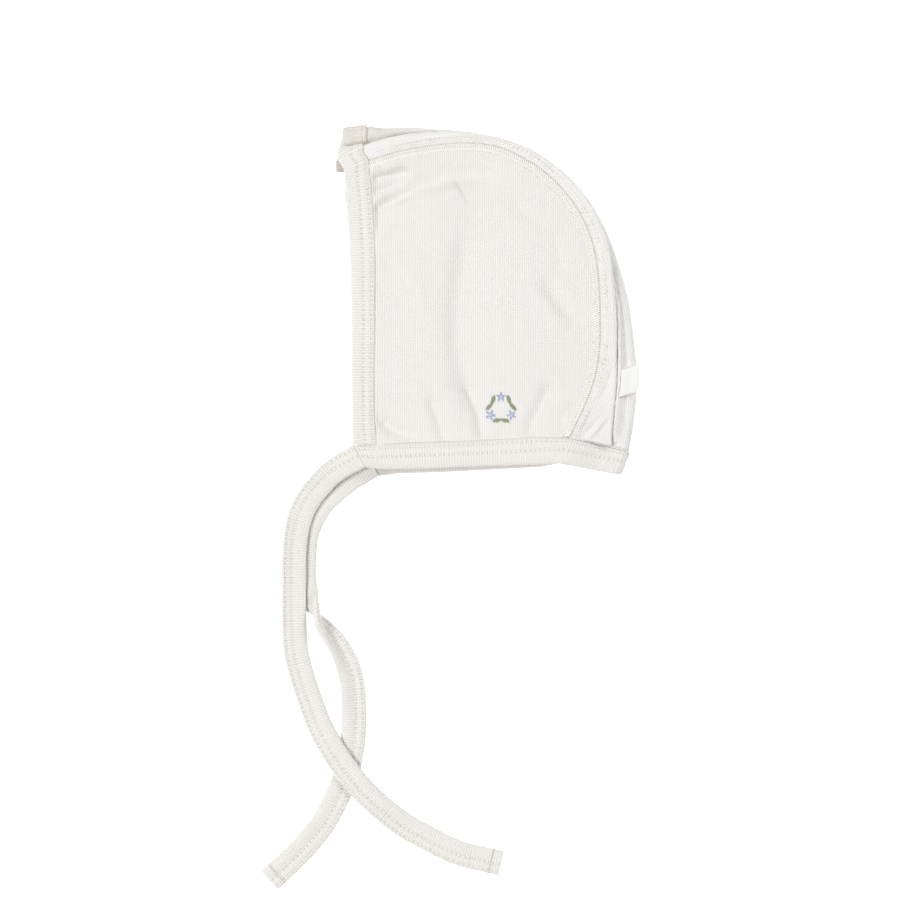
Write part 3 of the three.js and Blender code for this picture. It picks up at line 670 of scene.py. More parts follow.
# outer x and y, inner x and y
NEAR_FACE_TAPE = np.array([
    (-0.0609, -0.0668, -0.0494, -0.0659),
    (-0.0612, -0.0552, -0.0506, -0.0552),
    (-0.0614, -0.0368, -0.0509, -0.0368),
    (-0.0614, -0.0184, -0.0506, -0.0184),
    (-0.0616, 0, -0.0505, 0),
    (-0.0622, 0.0184, -0.0504, 0.0184),
    (-0.063, 0.0368, -0.0511, 0.0377),
    (-0.0639, 0.0483, -0.052, 0.0506),
    (-0.0647, 0.0554, -0.0531, 0.0598),
])
FAR_FACE_TAPE = np.array([
    (-0.0646, 0.049, -0.0529, 0.05),
    (-0.0635, 0.0391, -0.0522, 0.04),
    (-0.0616, 0.0138, -0.0504, 0.0138),
    (-0.0593, -0.0184, -0.0481, -0.0184),
    (-0.0575, -0.046, -0.0462, -0.046),
    (-0.0559, -0.0702, -0.0446, -0.0684),
])
NEAR_NECK_TAPE = np.array([
    (-0.0557, -0.077, -0.0607, -0.0673),
    (-0.0465, -0.0779, -0.0492, -0.0664),
    (-0.029, -0.0777, -0.0299, -0.0655),
    (-0.0023, -0.0766, -0.0023, -0.0645),
    (0.0207, -0.0759, 0.0227, -0.063),
])
FAR_NECK_TAPE = np.array([
    (0.0253, -0.077, 0.0272, -0.065),
    (0.0069, -0.078, 0.0069, -0.066),
    (-0.0207, -0.0794, -0.0207, -0.0674),
    (-0.0391, -0.08, -0.0409, -0.0688),
    (-0.0492, -0.0812, -0.0547, -0.0708),
])

# %% Heights of the two panels
TAPE_HEIGHT = 0.0106
SWELL = {"rise": 0.0013, "reach": 0.025, "face_x": -0.061, "neck_y": -0.077}
BROW_LIFT = {"rise": 0.0042, "x": -0.064, "y": 0.066, "spread": 0.027}
MIDDLE_LIFT = {"rise": 0.0022, "x": 0.010, "y": -0.004, "spread": 0.042}
# the far panel rises to the tape over this reach, and lies in it past this line and this level
FAR_RISE = {"clear": 0.0008, "reach": 0.0082}
FAR_FACE_LINE = {"low_x": -0.0462, "low_y": -0.046, "high_x": -0.0529, "high_y": 0.05}
FAR_NECK_Y = -0.066
# the tape's edge goes on at the brow by this step, and at the nape from one of these to the other
BROW_STEP = (-0.002, -0.014)
NAPE_ENDS = ((0.027, -0.065), (0.066, -0.0695))
# rise, half width to the left and to the right of the path, path, all in millimetres
NEAR_FOLDS = [
    (-2.1, 5.5, 18, [(-0.9, -63), (-3, -51), (-9.5, -35), (-12, -20), (-12, -3), (-9.5, 19), (-6, 36)]),
    (-0.5, 2.6, 4, [(-0.9, -65), (-3, -51), (-9.5, -36)]),
    (-1.3, 2.8, 5, [(-18.3, -65), (-20.5, -57), (-25.3, -43)]),
    (-1.2, 3.2, 3.2, [(-48, -56), (-42.8, -60), (-28, -63)]),
    (-1.3, 3.6, 3, [(19.3, -63), (25.8, -48), (30.8, -39)]),
    (-0.8, 3, 4, [(38, -8), (31, 2), (27.6, 9)]),
    (-0.8, 3, 3, [(35.4, 11), (34.5, 21), (31.3, 32)]),
    (-1.2, 2.4, 2.4, [(-52, 55.2), (-43, 57), (-33, 59)]),
    (-1.5, 6, 3.2, [(-51, 42), (-37.7, 51), (-18, 56), (4, 58)]),
]
FINE_CREASES = [
    (-1.7, 7, 15, [(-3, -55), (-9.5, -35), (-12, -20), (-12, -3), (-9.5, 19), (-5, 44)]),
    (-1.2, 2.6, 1.0, [(-57, 54.4), (-45, 56.2), (-34, 59)]),
    (-1.0, 2.6, 1.3, [(-57, 38.5), (-46, 43), (-33, 49)]),
    (0.8, 2.4, 1.5, [(-57, 42), (-45, 48), (-32, 53)]),
    (-0.45, 1.6, 2.6, [(11.5, -64), (13, -57), (15.6, -55)]),
    (-1.3, 5.5, 3.2, [(-58, 30), (-37.7, 48), (-18, 54), (8, 57)]),
    (1.7, 7.0, 7.0, [(-26, 40), (-16, 48), (-11, 51)]),
    (-1.0, 3.0, 2.0, [(-56, -50), (-43, -59.5), (-32, -67)]),
    (-0.9, 3.5, 5.0, [(44, -14), (36, -2), (26, 10)]),
    (0.9, 4.0, 4.0, [(37, -15), (29, -3), (20, 9)]),
    (-0.9, 1.8, 3.4, [(-0.2, -70), (-3, -54), (-9.5, -38)]),
    (-0.8, 2.8, 1.8, [(16.5, -70), (24.5, -52), (30.8, -39)]),
    (-0.7, 2.6, 2.0, [(-17.5, -70), (-21, -57), (-26, -43)]),
    (-0.30, 1.6, 1.6, [(30.8, -46), (29, -39)]),
    (-0.50, 1.8, 1.8, [(34.5, -61), (35.4, -55.2), (39.1, -48.3)]),
    (-0.35, 1.6, 1.6, [(44.6, -2.3), (41.4, 6.9)]),
    (-0.40, 2.2, 2.2, [(-49, -27), (-39, -34.5)]),
    (-0.9, 2.6, 1.6, [(-57, 29), (-46, 35.5), (-35, 40)]),
    (0.9, 4.0, 1.4, [(-57, 57), (-46, 59.5), (-38, 63)]),
    (-1.1, 2.4, 1.1, [(-57, 46.5), (-47, 50.6), (-37, 55)]),
    (-0.70, 4.0, 3.0, [(12, 45), (20, 39), (29, 35)]),
    (0.35, 2.4, 2.4, [(-28, -12), (-30, 8), (-40, 20)]),
    (-0.35, 2.6, 2.6, [(14, -22), (12, 0), (18, 20)]),
]
# creases on the crown strip, seen from above
STRIP_CREASES = [
    (-0.70, 1.6, 2.4, [(52.9, -47), (56.1, -40.5), (58, -34.5), (58.4, -27.6)]),
    (-0.80, 1.3, 1.0, [(41.5, -67), (51.1, -56.9)]),
    (0.60, 1.3, 1.0, [(46.3, -65), (54.7, -56)]),
    (-0.55, 1.5, 1.5, [(52, -61.5), (57.4, -55.3)]),
    (-0.30, 1.6, 1.6, [(-30, 76), (-20, 73)]),
]


def folds_height(x, y, folds):
    """Height that the folds of a table add."""
    height = np.zeros(np.shape(x))
    for rise, left, right, path in folds:
        distance, along, side = path_distance(x / MM, y / MM, path)
        fade = smooth(np.minimum(along, 1 - along) * 4 + 0.25)
        half = right + (left - right) * (side + 1) / 2
        height = height + rise * MM * fade * hill(distance, half)
    return height


def near_height(x, y):
    """Height of the middle of the near panel's cloth."""
    from_face = 1 - np.exp(-np.maximum(0, x - SWELL["face_x"]) / SWELL["reach"])
    from_neck = 1 - np.exp(-np.maximum(0, y - SWELL["neck_y"]) / SWELL["reach"])
    height = TAPE_HEIGHT + SWELL["rise"] * from_face * from_neck
    for lift in (BROW_LIFT, MIDDLE_LIFT):
        away = np.hypot(x - lift["x"], y - lift["y"])
        height = height + lift["rise"] * hill(away, lift["spread"])
    return height + folds_height(x, y, NEAR_FOLDS)


def far_height(x, y):
    """Height of the middle of the far panel's cloth: flat, and lifted only where the tape is."""
    brow, nape = STRIP_ROWS[1, :2], STRIP_ROWS[-2, :2]
    paths = (
        FAR_FACE_TAPE[:, 2:4],
        FAR_NECK_TAPE[:, 2:4],
        (brow + BROW_STEP, brow),
        (NAPE_ENDS[0], nape, NAPE_ENDS[1]),
    )
    nearest = np.minimum.reduce([path_distance(x, y, path)[0] for path in paths])
    line = FAR_FACE_LINE
    share = np.clip((y - line["low_y"]) / (line["high_y"] - line["low_y"]), -0.3, 1.4)
    edge_x = line["low_x"] + (line["high_x"] - line["low_x"]) * share
    nearest = np.where((x < edge_x) | (y < FAR_NECK_Y), 0, nearest)
    lift = 1 - smooth((nearest - FAR_RISE["clear"]) / FAR_RISE["reach"])
    return KNIT / 2 + (TAPE_HALF - KNIT / 2) * lift


print("near panel height in mm at its middle:", round(float(near_height(0.0, 0.0)) / MM, 2))

# %% [markdown]
# ## The folded crown strip
# At each station the strip leaves the near seam, turns back under itself at the near fold, comes
# out again at the inner fold, and turns under at the far fold to reach the far seam. The section
# is drawn as runs and bends, then cut into equal lengths so that the ribs keep their spacing.
# Beside the near fold the far half swells up against it, so that the fold shows as a fine line.

# %% Section of the crown strip
RUN_SAMPLES = 48
LEAST_BEND = 8
LEAST_INNER = 0.0006
TOUCH = 0.0001
# between which rows the far half swells, and by what share of the gap beside the near fold
FOLD_HUG = {"share": 1.3, "first": 7.5, "rising": 1.5, "last": 16.2, "falling": 0.8}
HUG_LEDGE = 0.003
LEAST_RUN = 0.001


def strip_surface(at, samples):
    """Middle of the strip's cloth: points and outward directions, a row for each station."""
    at = np.atleast_1d(np.asarray(at, float))
    columns = read_table(STRIP_ROWS, at).T
    seam_x, seam_y, fold_x, fold_y, far, turn, lean, lobe, angle, radius, far_radius = (
        column[:, None] for column in columns
    )
    reach = np.hypot(fold_x - seam_x, fold_y - seam_y)
    out_x, out_y = (fold_x - seam_x) / reach, (fold_y - seam_y) / reach
    far_fold = reach + far
    far_seam = far_fold - turn
    bend = np.radians(np.clip(angle, LEAST_BEND, 180))
    bends = math.pi * radius + (math.pi / 2 - 1) * far_radius
    inner = np.maximum(LEAST_INNER, (STRIP_WIDTH + KNIT - far_fold - turn) / 2 - bends)
    sideways = np.where(bend > math.pi / 2, 1, np.sin(bend))
    first_run = reach - (radius + KNIT / 2) * sideways
    seam_z = near_height(seam_x, seam_y)
    end_z = far_height(seam_x + out_x * far_seam, seam_y + out_y * far_seam)
    drop = 2 * radius * (1 - np.cos(bend)) + inner * np.sin(bend)
    fall = seam_z - end_z - 2 * far_radius - drop
    t = np.linspace(0, 1, RUN_SAMPLES)[None, :]
    parts = []

    def draw(*values):
        """Adds a run or a bend: outward place, height, heading and lead. Gives back its end."""
        parts.append([np.broadcast_to(value, (len(at), RUN_SAMPLES)) for value in values])
        return [value[:, -1:] for value in parts[-1][:2]]

    heading = -np.arctan2(6 * t * (1 - t) * fall, first_run)
    out, z = draw(first_run * t, seam_z - fall * smooth(t), heading, lean * smooth(t))
    turned = bend * t
    out, z = draw(out + radius * np.sin(turned), z - radius * (1 - np.cos(turned)), -turned, lean)
    lead = lean + (lobe - lean) * t
    out, z = draw(out + inner * np.cos(bend) * t, z - inner * np.sin(bend) * t, -bend, lead)
    turned = bend * (1 - t)
    across = radius * (np.sin(bend) - np.sin(turned))
    out, z = draw(out + across, z - radius * (np.cos(turned) - np.cos(bend)), -turned, lobe)
    last_run = far_fold - far_radius - KNIT / 2
    run = out + (last_run - out) * t
    peak = first_run + radius
    rising = smooth((at - FOLD_HUG["first"]) / FOLD_HUG["rising"])
    falling = smooth((FOLD_HUG["last"] - at) / FOLD_HUG["falling"])
    swollen = np.clip((last_run - peak) / HUG_LEDGE, 0, 1) * (rising * falling)[:, None]
    hug = radius + KNIT + TOUCH
    beside = hug * (1 - np.sqrt(1 - np.clip((run - first_run) / hug, 0, 1) ** 2))
    bulge = np.maximum(0, 2 * radius - KNIT - TOUCH) + FOLD_HUG["share"] * beside
    inward = smooth((run - out) / np.maximum(peak - out, LEAST_RUN))
    outward = smooth((last_run - run) / np.maximum(last_run - peak, LEAST_RUN))
    raised = bulge * swollen * np.minimum(inward, outward)
    uphill = np.arctan2(np.gradient(raised, axis=1), np.gradient(run, axis=1))
    draw(run, z + raised, uphill, lobe * (1 - t))
    turned = math.pi * t
    lower = far_radius * (1 - np.cos(turned))
    draw(last_run + far_radius * np.sin(turned), z - lower, -turned, 0)
    draw(last_run + (far_seam - last_run) * t, end_z, -math.pi, 0)

    sections = np.stack([np.concatenate(values, axis=1) for values in zip(*parts)], axis=-1)
    before, after = (read_table(STRIP_ROWS, at + step)[:, :2] for step in (-0.05, 0.05))
    towards = unit(before - after)
    points, normals, widths = [], [], []
    for i, section in enumerate(sections):
        creep = np.arange(len(section))[:, None] * 1e-9
        line = lengths_along(section[:, :2] + creep)
        out, height, heading, lead = line_at(section, line, np.linspace(0, line[-1], samples)).T
        outward = np.array([out_x[i, 0], out_y[i, 0]])
        xy = [seam_x[i, 0], seam_y[i, 0]] + outward * out[:, None] + towards[i] * lead[:, None]
        points.append(np.column_stack([xy, height]))
        normals.append(np.column_stack([-np.sin(heading)[:, None] * outward, np.cos(heading)]))
        widths.append(line[-1])
    return np.stack(points), np.stack(normals), np.array(widths)


check_widths = strip_surface([0, 5, 13, 18], 50)[2]
print("strip width in mm at four stations:", np.round(check_widths / MM, 1))

# %% [markdown]
# ## Cloth for the crown strip
# Ribs run along the strip, so each rib is a column of points that follows the seam. Four points
# make one rib: its crest, its two sides and the hollow beside it. Close to the two seams the
# stitching pulls the cloth down, and the cloth between them is a little uneven.

# %% Crown strip
RIB = 0.00102
RIB_DEPTH = 0.00022
INNER_RIBS = 0.3
STRIP_RIBS = 54
STRIP_TONE = 0.6
# painted shade at the seam, on its line of needle holes and under its braid on the panel
SEAM = {"shade": 0.4, "at": 0.0003, "half": 0.001, "hole": 0.55, "hole_half": 0.0004}
BRAID = {"wide": 0.0032, "hole": 0.22}
SEAM_PULL = {"fall": 0.0001, "reach": 0.0012}
SEAM_BANK = {"rise": 0.00018, "at": 0.0026, "half": 0.0014}
STRIP_PUCKER = {"rise": 0.00016, "reach": 0.006, "wave": 0.0011, "drift": 0.009}
STRIP_UNEVEN = {"rise": 0.00022, "wave": 0.0085, "slow_wave": 0.0127}
# painted shade on the strip under the brow: its pull on the ribs' light and the hole beige
STRIP_BROW = {"rib": 0.7, "hole": 0.1}


def make_strip():
    """The crown strip, with a ring of corners for each station along its seam."""
    nape = LAST_ROW - 3
    stations = np.append(
        np.linspace(0.11, nape, 150, endpoint=False), np.linspace(nape, LAST_ROW - 0.11, 44),
    )
    samples = STRIP_RIBS * 4 + 1
    points, normals, widths = strip_surface(stations, samples)
    ribs = np.arange(samples) / 4
    wave = ribbing(ribs)[None, :]
    e = np.linspace(0, 1, samples)[None, :]
    seam_line = lengths_along(read_table(STRIP_ROWS, stations)[:, :2])[:, None]
    from_seam = np.minimum(e, 1 - e) * STRIP_WIDTH
    settle = SEAM_BANK["rise"] * hill(from_seam - SEAM_BANK["at"], SEAM_BANK["half"])
    settle = settle - SEAM_PULL["fall"] * np.exp(-from_seam / SEAM_PULL["reach"])
    drift = 2 * np.sin(seam_line / STRIP_PUCKER["drift"])
    ripple = np.sin(seam_line / STRIP_PUCKER["wave"] + drift)
    pucker = STRIP_PUCKER["rise"] * np.exp(-from_seam / STRIP_PUCKER["reach"]) * ripple
    uneven = np.sin(seam_line / STRIP_UNEVEN["wave"] + 9 * e)
    uneven = STRIP_UNEVEN["rise"] * uneven * np.sin(seam_line / STRIP_UNEVEN["slow_wave"] - 5 * e)
    crease = folds_height(points[..., 0], points[..., 1], STRIP_CREASES)
    crease = crease * smooth((normals[..., 2] - 0.2) / 0.5) * (e < 0.5)
    free = smooth((stations - 1.0) / 0.5) * smooth((LAST_ROW - 1.0 - stations) / 0.7)
    lift = settle + (pucker + uneven + crease) * free[:, None]
    outer = points + normals * (KNIT / 2 - RIB_DEPTH / 2 + RIB_DEPTH * wave + lift)[..., None]
    inner = points - normals * (KNIT / 2 - RIB_DEPTH * INNER_RIBS * wave - lift)[..., None]
    shade = brow_shade(outer)
    relief = (1 - STRIP_TONE + STRIP_TONE * wave) * (1 - STRIP_BROW["rib"] * shade)
    # painted shade beside the seam, and on the seam's line of needle holes
    relief = relief * (1 - SEAM["shade"] * hill(from_seam - SEAM["at"], SEAM["half"]))
    hole = np.maximum(SEAM["hole"] * hill(from_seam, SEAM["hole_half"]), STRIP_BROW["hole"] * shade)
    attributes = {"rib": both_sides(relief), "hole": both_sides(hole)}
    knit_place = both_sides(knit_grid(ribs, seam_line / KNIT_ROW))
    piece = ring_body("crown_strip_cloth", both_sides(outer, inner), knit_place, attributes)
    dress(piece, panel_knit, "crown_strip")
    length = float(seam_line[-1, 0])
    print("strip length in mm:", round(length / MM, 1), "widths:", np.round(widths[::40] / MM, 1))


make_strip()

# %% [markdown]
# ## The side panels
# Ribs run up the side panels, so a panel is made of columns of points, each column lying along
# its rib from the neck edge to the crown seam. Rows lie closer together where the print is and at
# the creases of the brow. Beside the bindings the cloth puffs up a little, as gathered cloth does.
# The print is generic: a small ring of leaves with three plain blossoms. Its colour is kept at
# each point, because printed ink stays on the crests of the ribs.

# %% Outline of a panel
NEAR_FACE_EDGE = [(-55.2, -74.6), (-59.0, -67.4)]
NEAR_NECK_EDGE = [(-55.2, -74.6), (-46.2, -76.4), (-29, -76.3), (-2.3, -75.2), (20.8, -74.5)]
FAR_FACE_EDGE = [(-49.0, -78.8), (-53.6, -70.2)]
FAR_NECK_EDGE = [(-49.0, -78.8), (-39.0, -78.6), (-20.7, -78), (6.9, -76.6), (25.2, -75.6)]


def seam_frame(at):
    """The near seam with its outward direction, and the place of the far seam."""
    columns = read_table(STRIP_ROWS, at)
    seam, fold = columns[..., :2], columns[..., 2:4]
    reach = np.linalg.norm(fold - seam, axis=-1, keepdims=True)
    outward = (fold - seam) / reach
    far_seam = seam + outward * (reach + columns[..., 4:5] - columns[..., 5:6])
    return seam, outward, far_seam


def column_ends(seam_line, face_edge, neck_edge, x):
    """Where the columns at x begin and end inside the panel's outline."""
    widest = int(np.argmax(seam_line[:, 0]))
    top = seam_line[: widest + 1]
    back = seam_line[widest:][::-1]
    neck = read_table(neck_edge, np.linspace(0, len(neck_edge) - 1, 60)) * MM
    low = np.concatenate([np.array(face_edge[::-1])[:-1] * MM, neck, back])
    return np.interp(x, low[:, 0], low[:, 1]), np.interp(x, top[:, 0], top[:, 1])


# %% Printed ring of leaves and blossoms
PRINT_PIXEL = (501, 409)
RING = {"radius": 0.0056, "half_line": 0.00022, "green": 0.8, "places": 9}
BLOSSOM = {"radius": 0.0023, "petals": 5, "notch": 0.34, "edge": 0.0003, "eye": 0.0005}
LEAF = {"long": 0.0021, "wide": 0.0009, "lean": 0.6}


def printed_ink(x, y):
    """Amounts of blue and green ink at each point."""
    middle_x, middle_y = from_pixel(*PRINT_PIXEL)
    x, y = x - middle_x, y - middle_y
    blue = np.zeros(x.shape)
    green = RING["green"] * (np.abs(np.hypot(x, y) - RING["radius"]) < RING["half_line"])
    for k in range(RING["places"]):
        angle = 2 * math.pi * k / RING["places"] + math.pi / 2
        dx = x - RING["radius"] * math.cos(angle)
        dy = y - RING["radius"] * math.sin(angle)
        if k % 3 == 0:
            r, around = np.hypot(dx, dy), np.arctan2(dy, dx)
            petals = 1 - BLOSSOM["notch"] * (1 - np.cos(BLOSSOM["petals"] * (around - angle)))
            petals = BLOSSOM["radius"] * petals
            blue = np.maximum(blue, 1.0 - smooth((r - petals) / BLOSSOM["edge"]))
            green = np.where(r < BLOSSOM["radius"] * 1.1, 0, green)
            blue = np.where(r < BLOSSOM["eye"], 0.25, blue)
        else:
            lean = angle + math.pi / 2 + (LEAF["lean"] if k % 3 == 1 else -LEAF["lean"])
            along = dx * math.cos(lean) + dy * math.sin(lean)
            across = -dx * math.sin(lean) + dy * math.cos(lean)
            leaf = (along / LEAF["long"]) ** 2 + (across / LEAF["wide"]) ** 2
            green = np.maximum(green, 1 - smooth((leaf - 0.8) / 0.5))
    return blue, green * (blue < 0.5)


# %% Make a side panel
SEAM_GAP = 0.00004
INSIDE_TAPE = 0.002
BRAID_CLEAR = 0.003
PUFF = {"rise": 0.0006, "reach": 0.004, "before": 0.0004, "over": 0.001}
GATHER = {"rise": 0.00013, "wave": 0.0016, "reach": 0.007, "seam_wave": 0.0014, "seam_reach": 0.005}
PANEL_UNEVEN = {"rise": 0.00018, "wave_x": 0.0071, "slant": 0.019, "wave_y": 0.0133}


def near_cloth(x, y, seam_line):
    """Height of the near panel's cloth with its creases, and painted shade and holes by the seam."""
    to_face = path_distance(x, y, NEAR_FACE_TAPE[:, 2:4])[0]
    to_neck = path_distance(x, y, NEAR_NECK_TAPE[:, 2:4])[0]
    to_seam = path_distance(x, y, seam_line[::12])[0]
    past_face = x - np.interp(y, NEAR_FACE_TAPE[:, 3], NEAR_FACE_TAPE[:, 2])
    past_neck = y - np.interp(x, NEAR_NECK_TAPE[:, 2], NEAR_NECK_TAPE[:, 3])
    inside = smooth(past_face / INSIDE_TAPE) * smooth(past_neck / INSIDE_TAPE)
    calm = inside * smooth((to_seam - BRAID_CLEAR) / BRAID_CLEAR)
    puff = gather = 0
    for past, away, line, bend in ((past_face, to_face, y, 0.011), (past_neck, to_neck, x, 0.013)):
        rising = smooth((past + PUFF["before"]) / PUFF["over"])
        puff = puff + PUFF["rise"] * rising * np.exp(-away / PUFF["reach"])
        ripple = np.sin(line / GATHER["wave"] + 1.5 * np.sin(line / bend))
        gather = gather + np.exp(-away / GATHER["reach"]) * ripple
    ripple = np.sin((x - y) / GATHER["seam_wave"])
    gather = gather + 0.8 * np.exp(-to_seam / GATHER["seam_reach"]) * ripple
    uneven = np.sin(x / PANEL_UNEVEN["wave_x"] + y / PANEL_UNEVEN["slant"])
    uneven = PANEL_UNEVEN["rise"] * uneven * np.sin(y / PANEL_UNEVEN["wave_y"])
    height = near_height(x, y) + folds_height(x, y, FINE_CREASES) * inside
    height = height + puff * smooth(to_seam / BRAID_CLEAR)
    height = height + (GATHER["rise"] * gather + uneven) * calm
    height = height - SEAM_PULL["fall"] * np.exp(-to_seam / SEAM_PULL["reach"])
    # painted shade beside the seam, and painted shade under the braid in the hole beige
    shade = SEAM["shade"] * hill(to_seam - SEAM["at"], SEAM["half"])
    braid_painted_shade = BRAID["hole"] * smooth((BRAID["wide"] - to_seam) / 0.0005)
    return height, shade, np.maximum(SEAM["hole"] * hill(to_seam, SEAM["hole_half"]), braid_painted_shade)


def make_panel(name, node, side, first_x, rib_points, row_shares, material):
    """One side panel as columns of points along its ribs; side is 1 for near, -1 for far."""
    seam, outward, far_seam = seam_frame(np.linspace(0.1, LAST_ROW - 0.1, 1200))
    seam_line = (seam if side > 0 else far_seam) - outward * SEAM_GAP
    edges = (NEAR_FACE_EDGE, NEAR_NECK_EDGE) if side > 0 else (FAR_FACE_EDGE, FAR_NECK_EDGE)
    step = RIB / rib_points
    widest = seam_line[:, 0].max()
    x = np.append(np.arange(first_x, widest - 0.0001, step), widest - 0.00001)
    low, high = column_ends(seam_line, *edges, x)
    grid_x = np.repeat(x[:, None], len(row_shares), axis=1)
    grid_y = low[:, None] + (high - low)[:, None] * row_shares
    ribs = np.repeat((np.arange(len(x)) / rib_points)[:, None], len(row_shares), axis=1)
    wave = ribbing(ribs)
    if side > 0:
        middle, shade, hole = near_cloth(grid_x, grid_y, seam_line)
        outer_lift = KNIT / 2 - RIB_DEPTH / 2 + RIB_DEPTH * wave
    else:
        middle = far_height(grid_x, grid_y)
        shade = hole = 0 * middle
        outer_lift = KNIT / 2 - RIB_DEPTH * (1 - wave)
    inner_lift = KNIT / 2 - RIB_DEPTH * INNER_RIBS * wave
    heights = (middle + side * outer_lift, middle - side * inner_lift)
    outer, inner = (np.stack([grid_x, grid_y, height], axis=-1) for height in heights)
    attributes = {"rib": both_sides(wave * (1 - shade)), "hole": both_sides(hole)}
    if material is printed_knit:
        for key, ink in zip(("ink_blue", "ink_green"), printed_ink(grid_x, grid_y)):
            attributes[key] = both_sides(ink, 0 * ink)
    knit_place = both_sides(knit_grid(ribs, grid_y / KNIT_ROW))
    piece = ring_body(name, both_sides(outer, inner), knit_place, attributes)
    dress(piece, material, node)


# each group's first and last share of a column's height, and its number of rows
ROW_GROUPS = ((0, 0.095, 7), (0.095, 0.245, 34), (0.245, 0.79, 32), (0.79, 0.975, 28))
TOP_ROWS = [0.975, 0.983, 0.989, 0.993, 0.9965, 1]
groups = [np.linspace(start, end, count, endpoint=False) for start, end, count in ROW_GROUPS]
near_rows = np.concatenate([*groups, TOP_ROWS])
make_panel(
    "near_side_cloth", "near_side_panel", 1, -0.0589, 4, near_rows, printed_knit,
)
make_panel(
    "far_side_cloth", "far_side_panel", -1, -0.0544, 3, np.linspace(0, 1, 60), panel_knit,
)

# %% [markdown]
# ## The bindings
# The face edge and the neck edge are each wrapped in a folded tape, sewn down with two rows of
# stitches. The tape is a U in section, with the panel's edge inside it. Its ribs run across it,
# so the rings of the body step along the edge, four to a rib, and its section has more points
# under the stitches, where the thread presses a groove into it.

# %% Tape around an opening
OUTER_SHARES = [*section_shares(BAND_ROWS, 0.95)[1:], 0.965, 0.985, 1.0][::-1]
INNER_SHARES = [0.11, 0.5, 1]
SLOT_MOUTH = 0.00064
# the slot's walls are painted one even, light tone that lifts the shade inside the slot
SLOT_LIGHT_SHARE = 0.8
# the lip's fall at the tape's inner edge, and its painted shade line in the hole beige
LIP = {"fall": 0.00068, "start": 0.93, "hole": 0.3, "shade_start": 0.965}
STRIP_SAMPLES = 260


def tape_lines(near_rows, far_rows, strip_at):
    """Points and outward directions over one opening's edge, for each share of the tape's width."""
    sides = ((near_rows, 240, near_height), (far_rows, 200, far_height))
    points, normals = {}, {}
    for share in sorted({0.0, *OUTER_SHARES, *INNER_SHARES}):
        lines = []
        for rows, count, height in sides:
            columns = read_table(rows, np.linspace(0, len(rows) - 1, count))
            xy = columns[:, :2] + (columns[:, 2:4] - columns[:, :2]) * share
            lines.append(np.column_stack([xy, height(xy[:, 0], xy[:, 1])]))
        over, outward = strip_surface(strip_at(share), STRIP_SAMPLES)[:2]
        ups = [np.tile([0.0, 0.0, side], (len(line), 1)) for side, line in zip((1, -1), lines)]
        points[share] = np.concatenate([lines[0], over[0], lines[1]])
        normals[share] = np.concatenate([ups[0], outward[0], ups[1]])
    travelled = lengths_along(points[BAND_ROWS[0]])
    wanted = np.linspace(0, travelled[-1], int(travelled[-1] / (TAPE_RIB / 4)))
    for share in points:
        points[share] = line_at(points[share], travelled, wanted)
        normals[share] = unit(line_at(normals[share], travelled, wanted))
    return wanted, points, normals


def tape_offset(share, travelled):
    """Height of the tape's outer side over the cloth's middle, its painted shade and its holes."""
    rise, light_share, hole = tape_relief(share, travelled, BAND_ROWS, BAND_SWELL)
    lip = LIP["fall"] * smooth((share - LIP["start"]) / 0.07)
    # a painted shade line along the tape's inner edge, in the hole beige
    edge_painted_shade = LIP["hole"] * smooth((share - LIP["shade_start"]) / 0.03)
    height = (TAPE_HALF - SKIN_DEPTH - lip + rise) * edge_rounding(share)
    return height, light_share, np.maximum(hole, edge_painted_shade)


def make_tape(name, node, near_rows, far_rows, strip_at, inside_shade):
    """The folded tape round one opening, with its inner side shaded."""
    lines = tape_lines(near_rows, far_rows, strip_at)
    travelled, points, normals = lines
    # painted light: one even, light tone on the slot's walls, without needle holes
    slot_light = np.full(len(travelled), SLOT_LIGHT_SHARE)
    corners = []

    def corner(share, offset, light_share, hole):
        place = points[share] + normals[share] * np.asarray(offset)[..., None]
        corners.append((place, share, light_share, hole))

    for share in OUTER_SHARES:
        corner(share, *tape_offset(share, travelled))
    for share in OUTER_SHARES[::-1]:
        offset, light_share, hole = tape_offset(share, travelled)
        inside = inside_shade * smooth(share / 0.08)
        corner(share, -offset, light_share * (1 - inside), np.maximum(hole, inside))
    for side, shares in ((-1, INNER_SHARES[::-1]), (1, INNER_SHARES)):
        for share in shares:
            slot = SLOT_HALF if share < 1 else SLOT_MOUTH
            corner(share, side * slot, slot_light, 0 * slot_light)
    piece = tape_body(name, node, travelled, corners, laddered=False)
    return lines


face_lines = make_tape(
    "face_binding", "face_band", NEAR_FACE_TAPE, FAR_FACE_TAPE, lambda share: share, 0.5,
)
neck_lines = make_tape(
    "neck_binding", "neck_band", NEAR_NECK_TAPE, FAR_NECK_TAPE,
    lambda share: LAST_ROW - share, 0.15,
)

# %% [markdown]
# ## Stitches
# Each stitch is a short piece of thread that dips into the cloth at both ends. One function makes
# them all: it reads a line on the cloth, cuts it into stitches, lifts the middle of each, and
# puts a six-sided tube round it.

# %% Thread pieces
THREAD = 0.00017
LOOSE_THREAD = 0.00012
SIDES = 6
ENDS_THIN = np.array([0.7, 1, 1.1, 1, 0.7])


def tubes(paths, ups, radii):
    """Tubes round many short paths of the same number of points."""
    along = unit(np.gradient(paths, axis=1))
    side = unit(np.cross(along, ups))
    over = np.cross(side, along)
    angle = np.arange(SIDES)[:, None] * 2 * math.pi / SIDES
    ring = side[:, :, None] * np.cos(angle) + over[:, :, None] * np.sin(angle)
    points = paths[:, :, None] + ring * radii[:, None, None]
    index = np.arange(points[..., 0].size).reshape(points.shape[:3])
    faces = skin_faces(index).tolist() + index[:, 0, ::-1].tolist() + index[:, -1].tolist()
    return points.reshape(-1, 3), faces


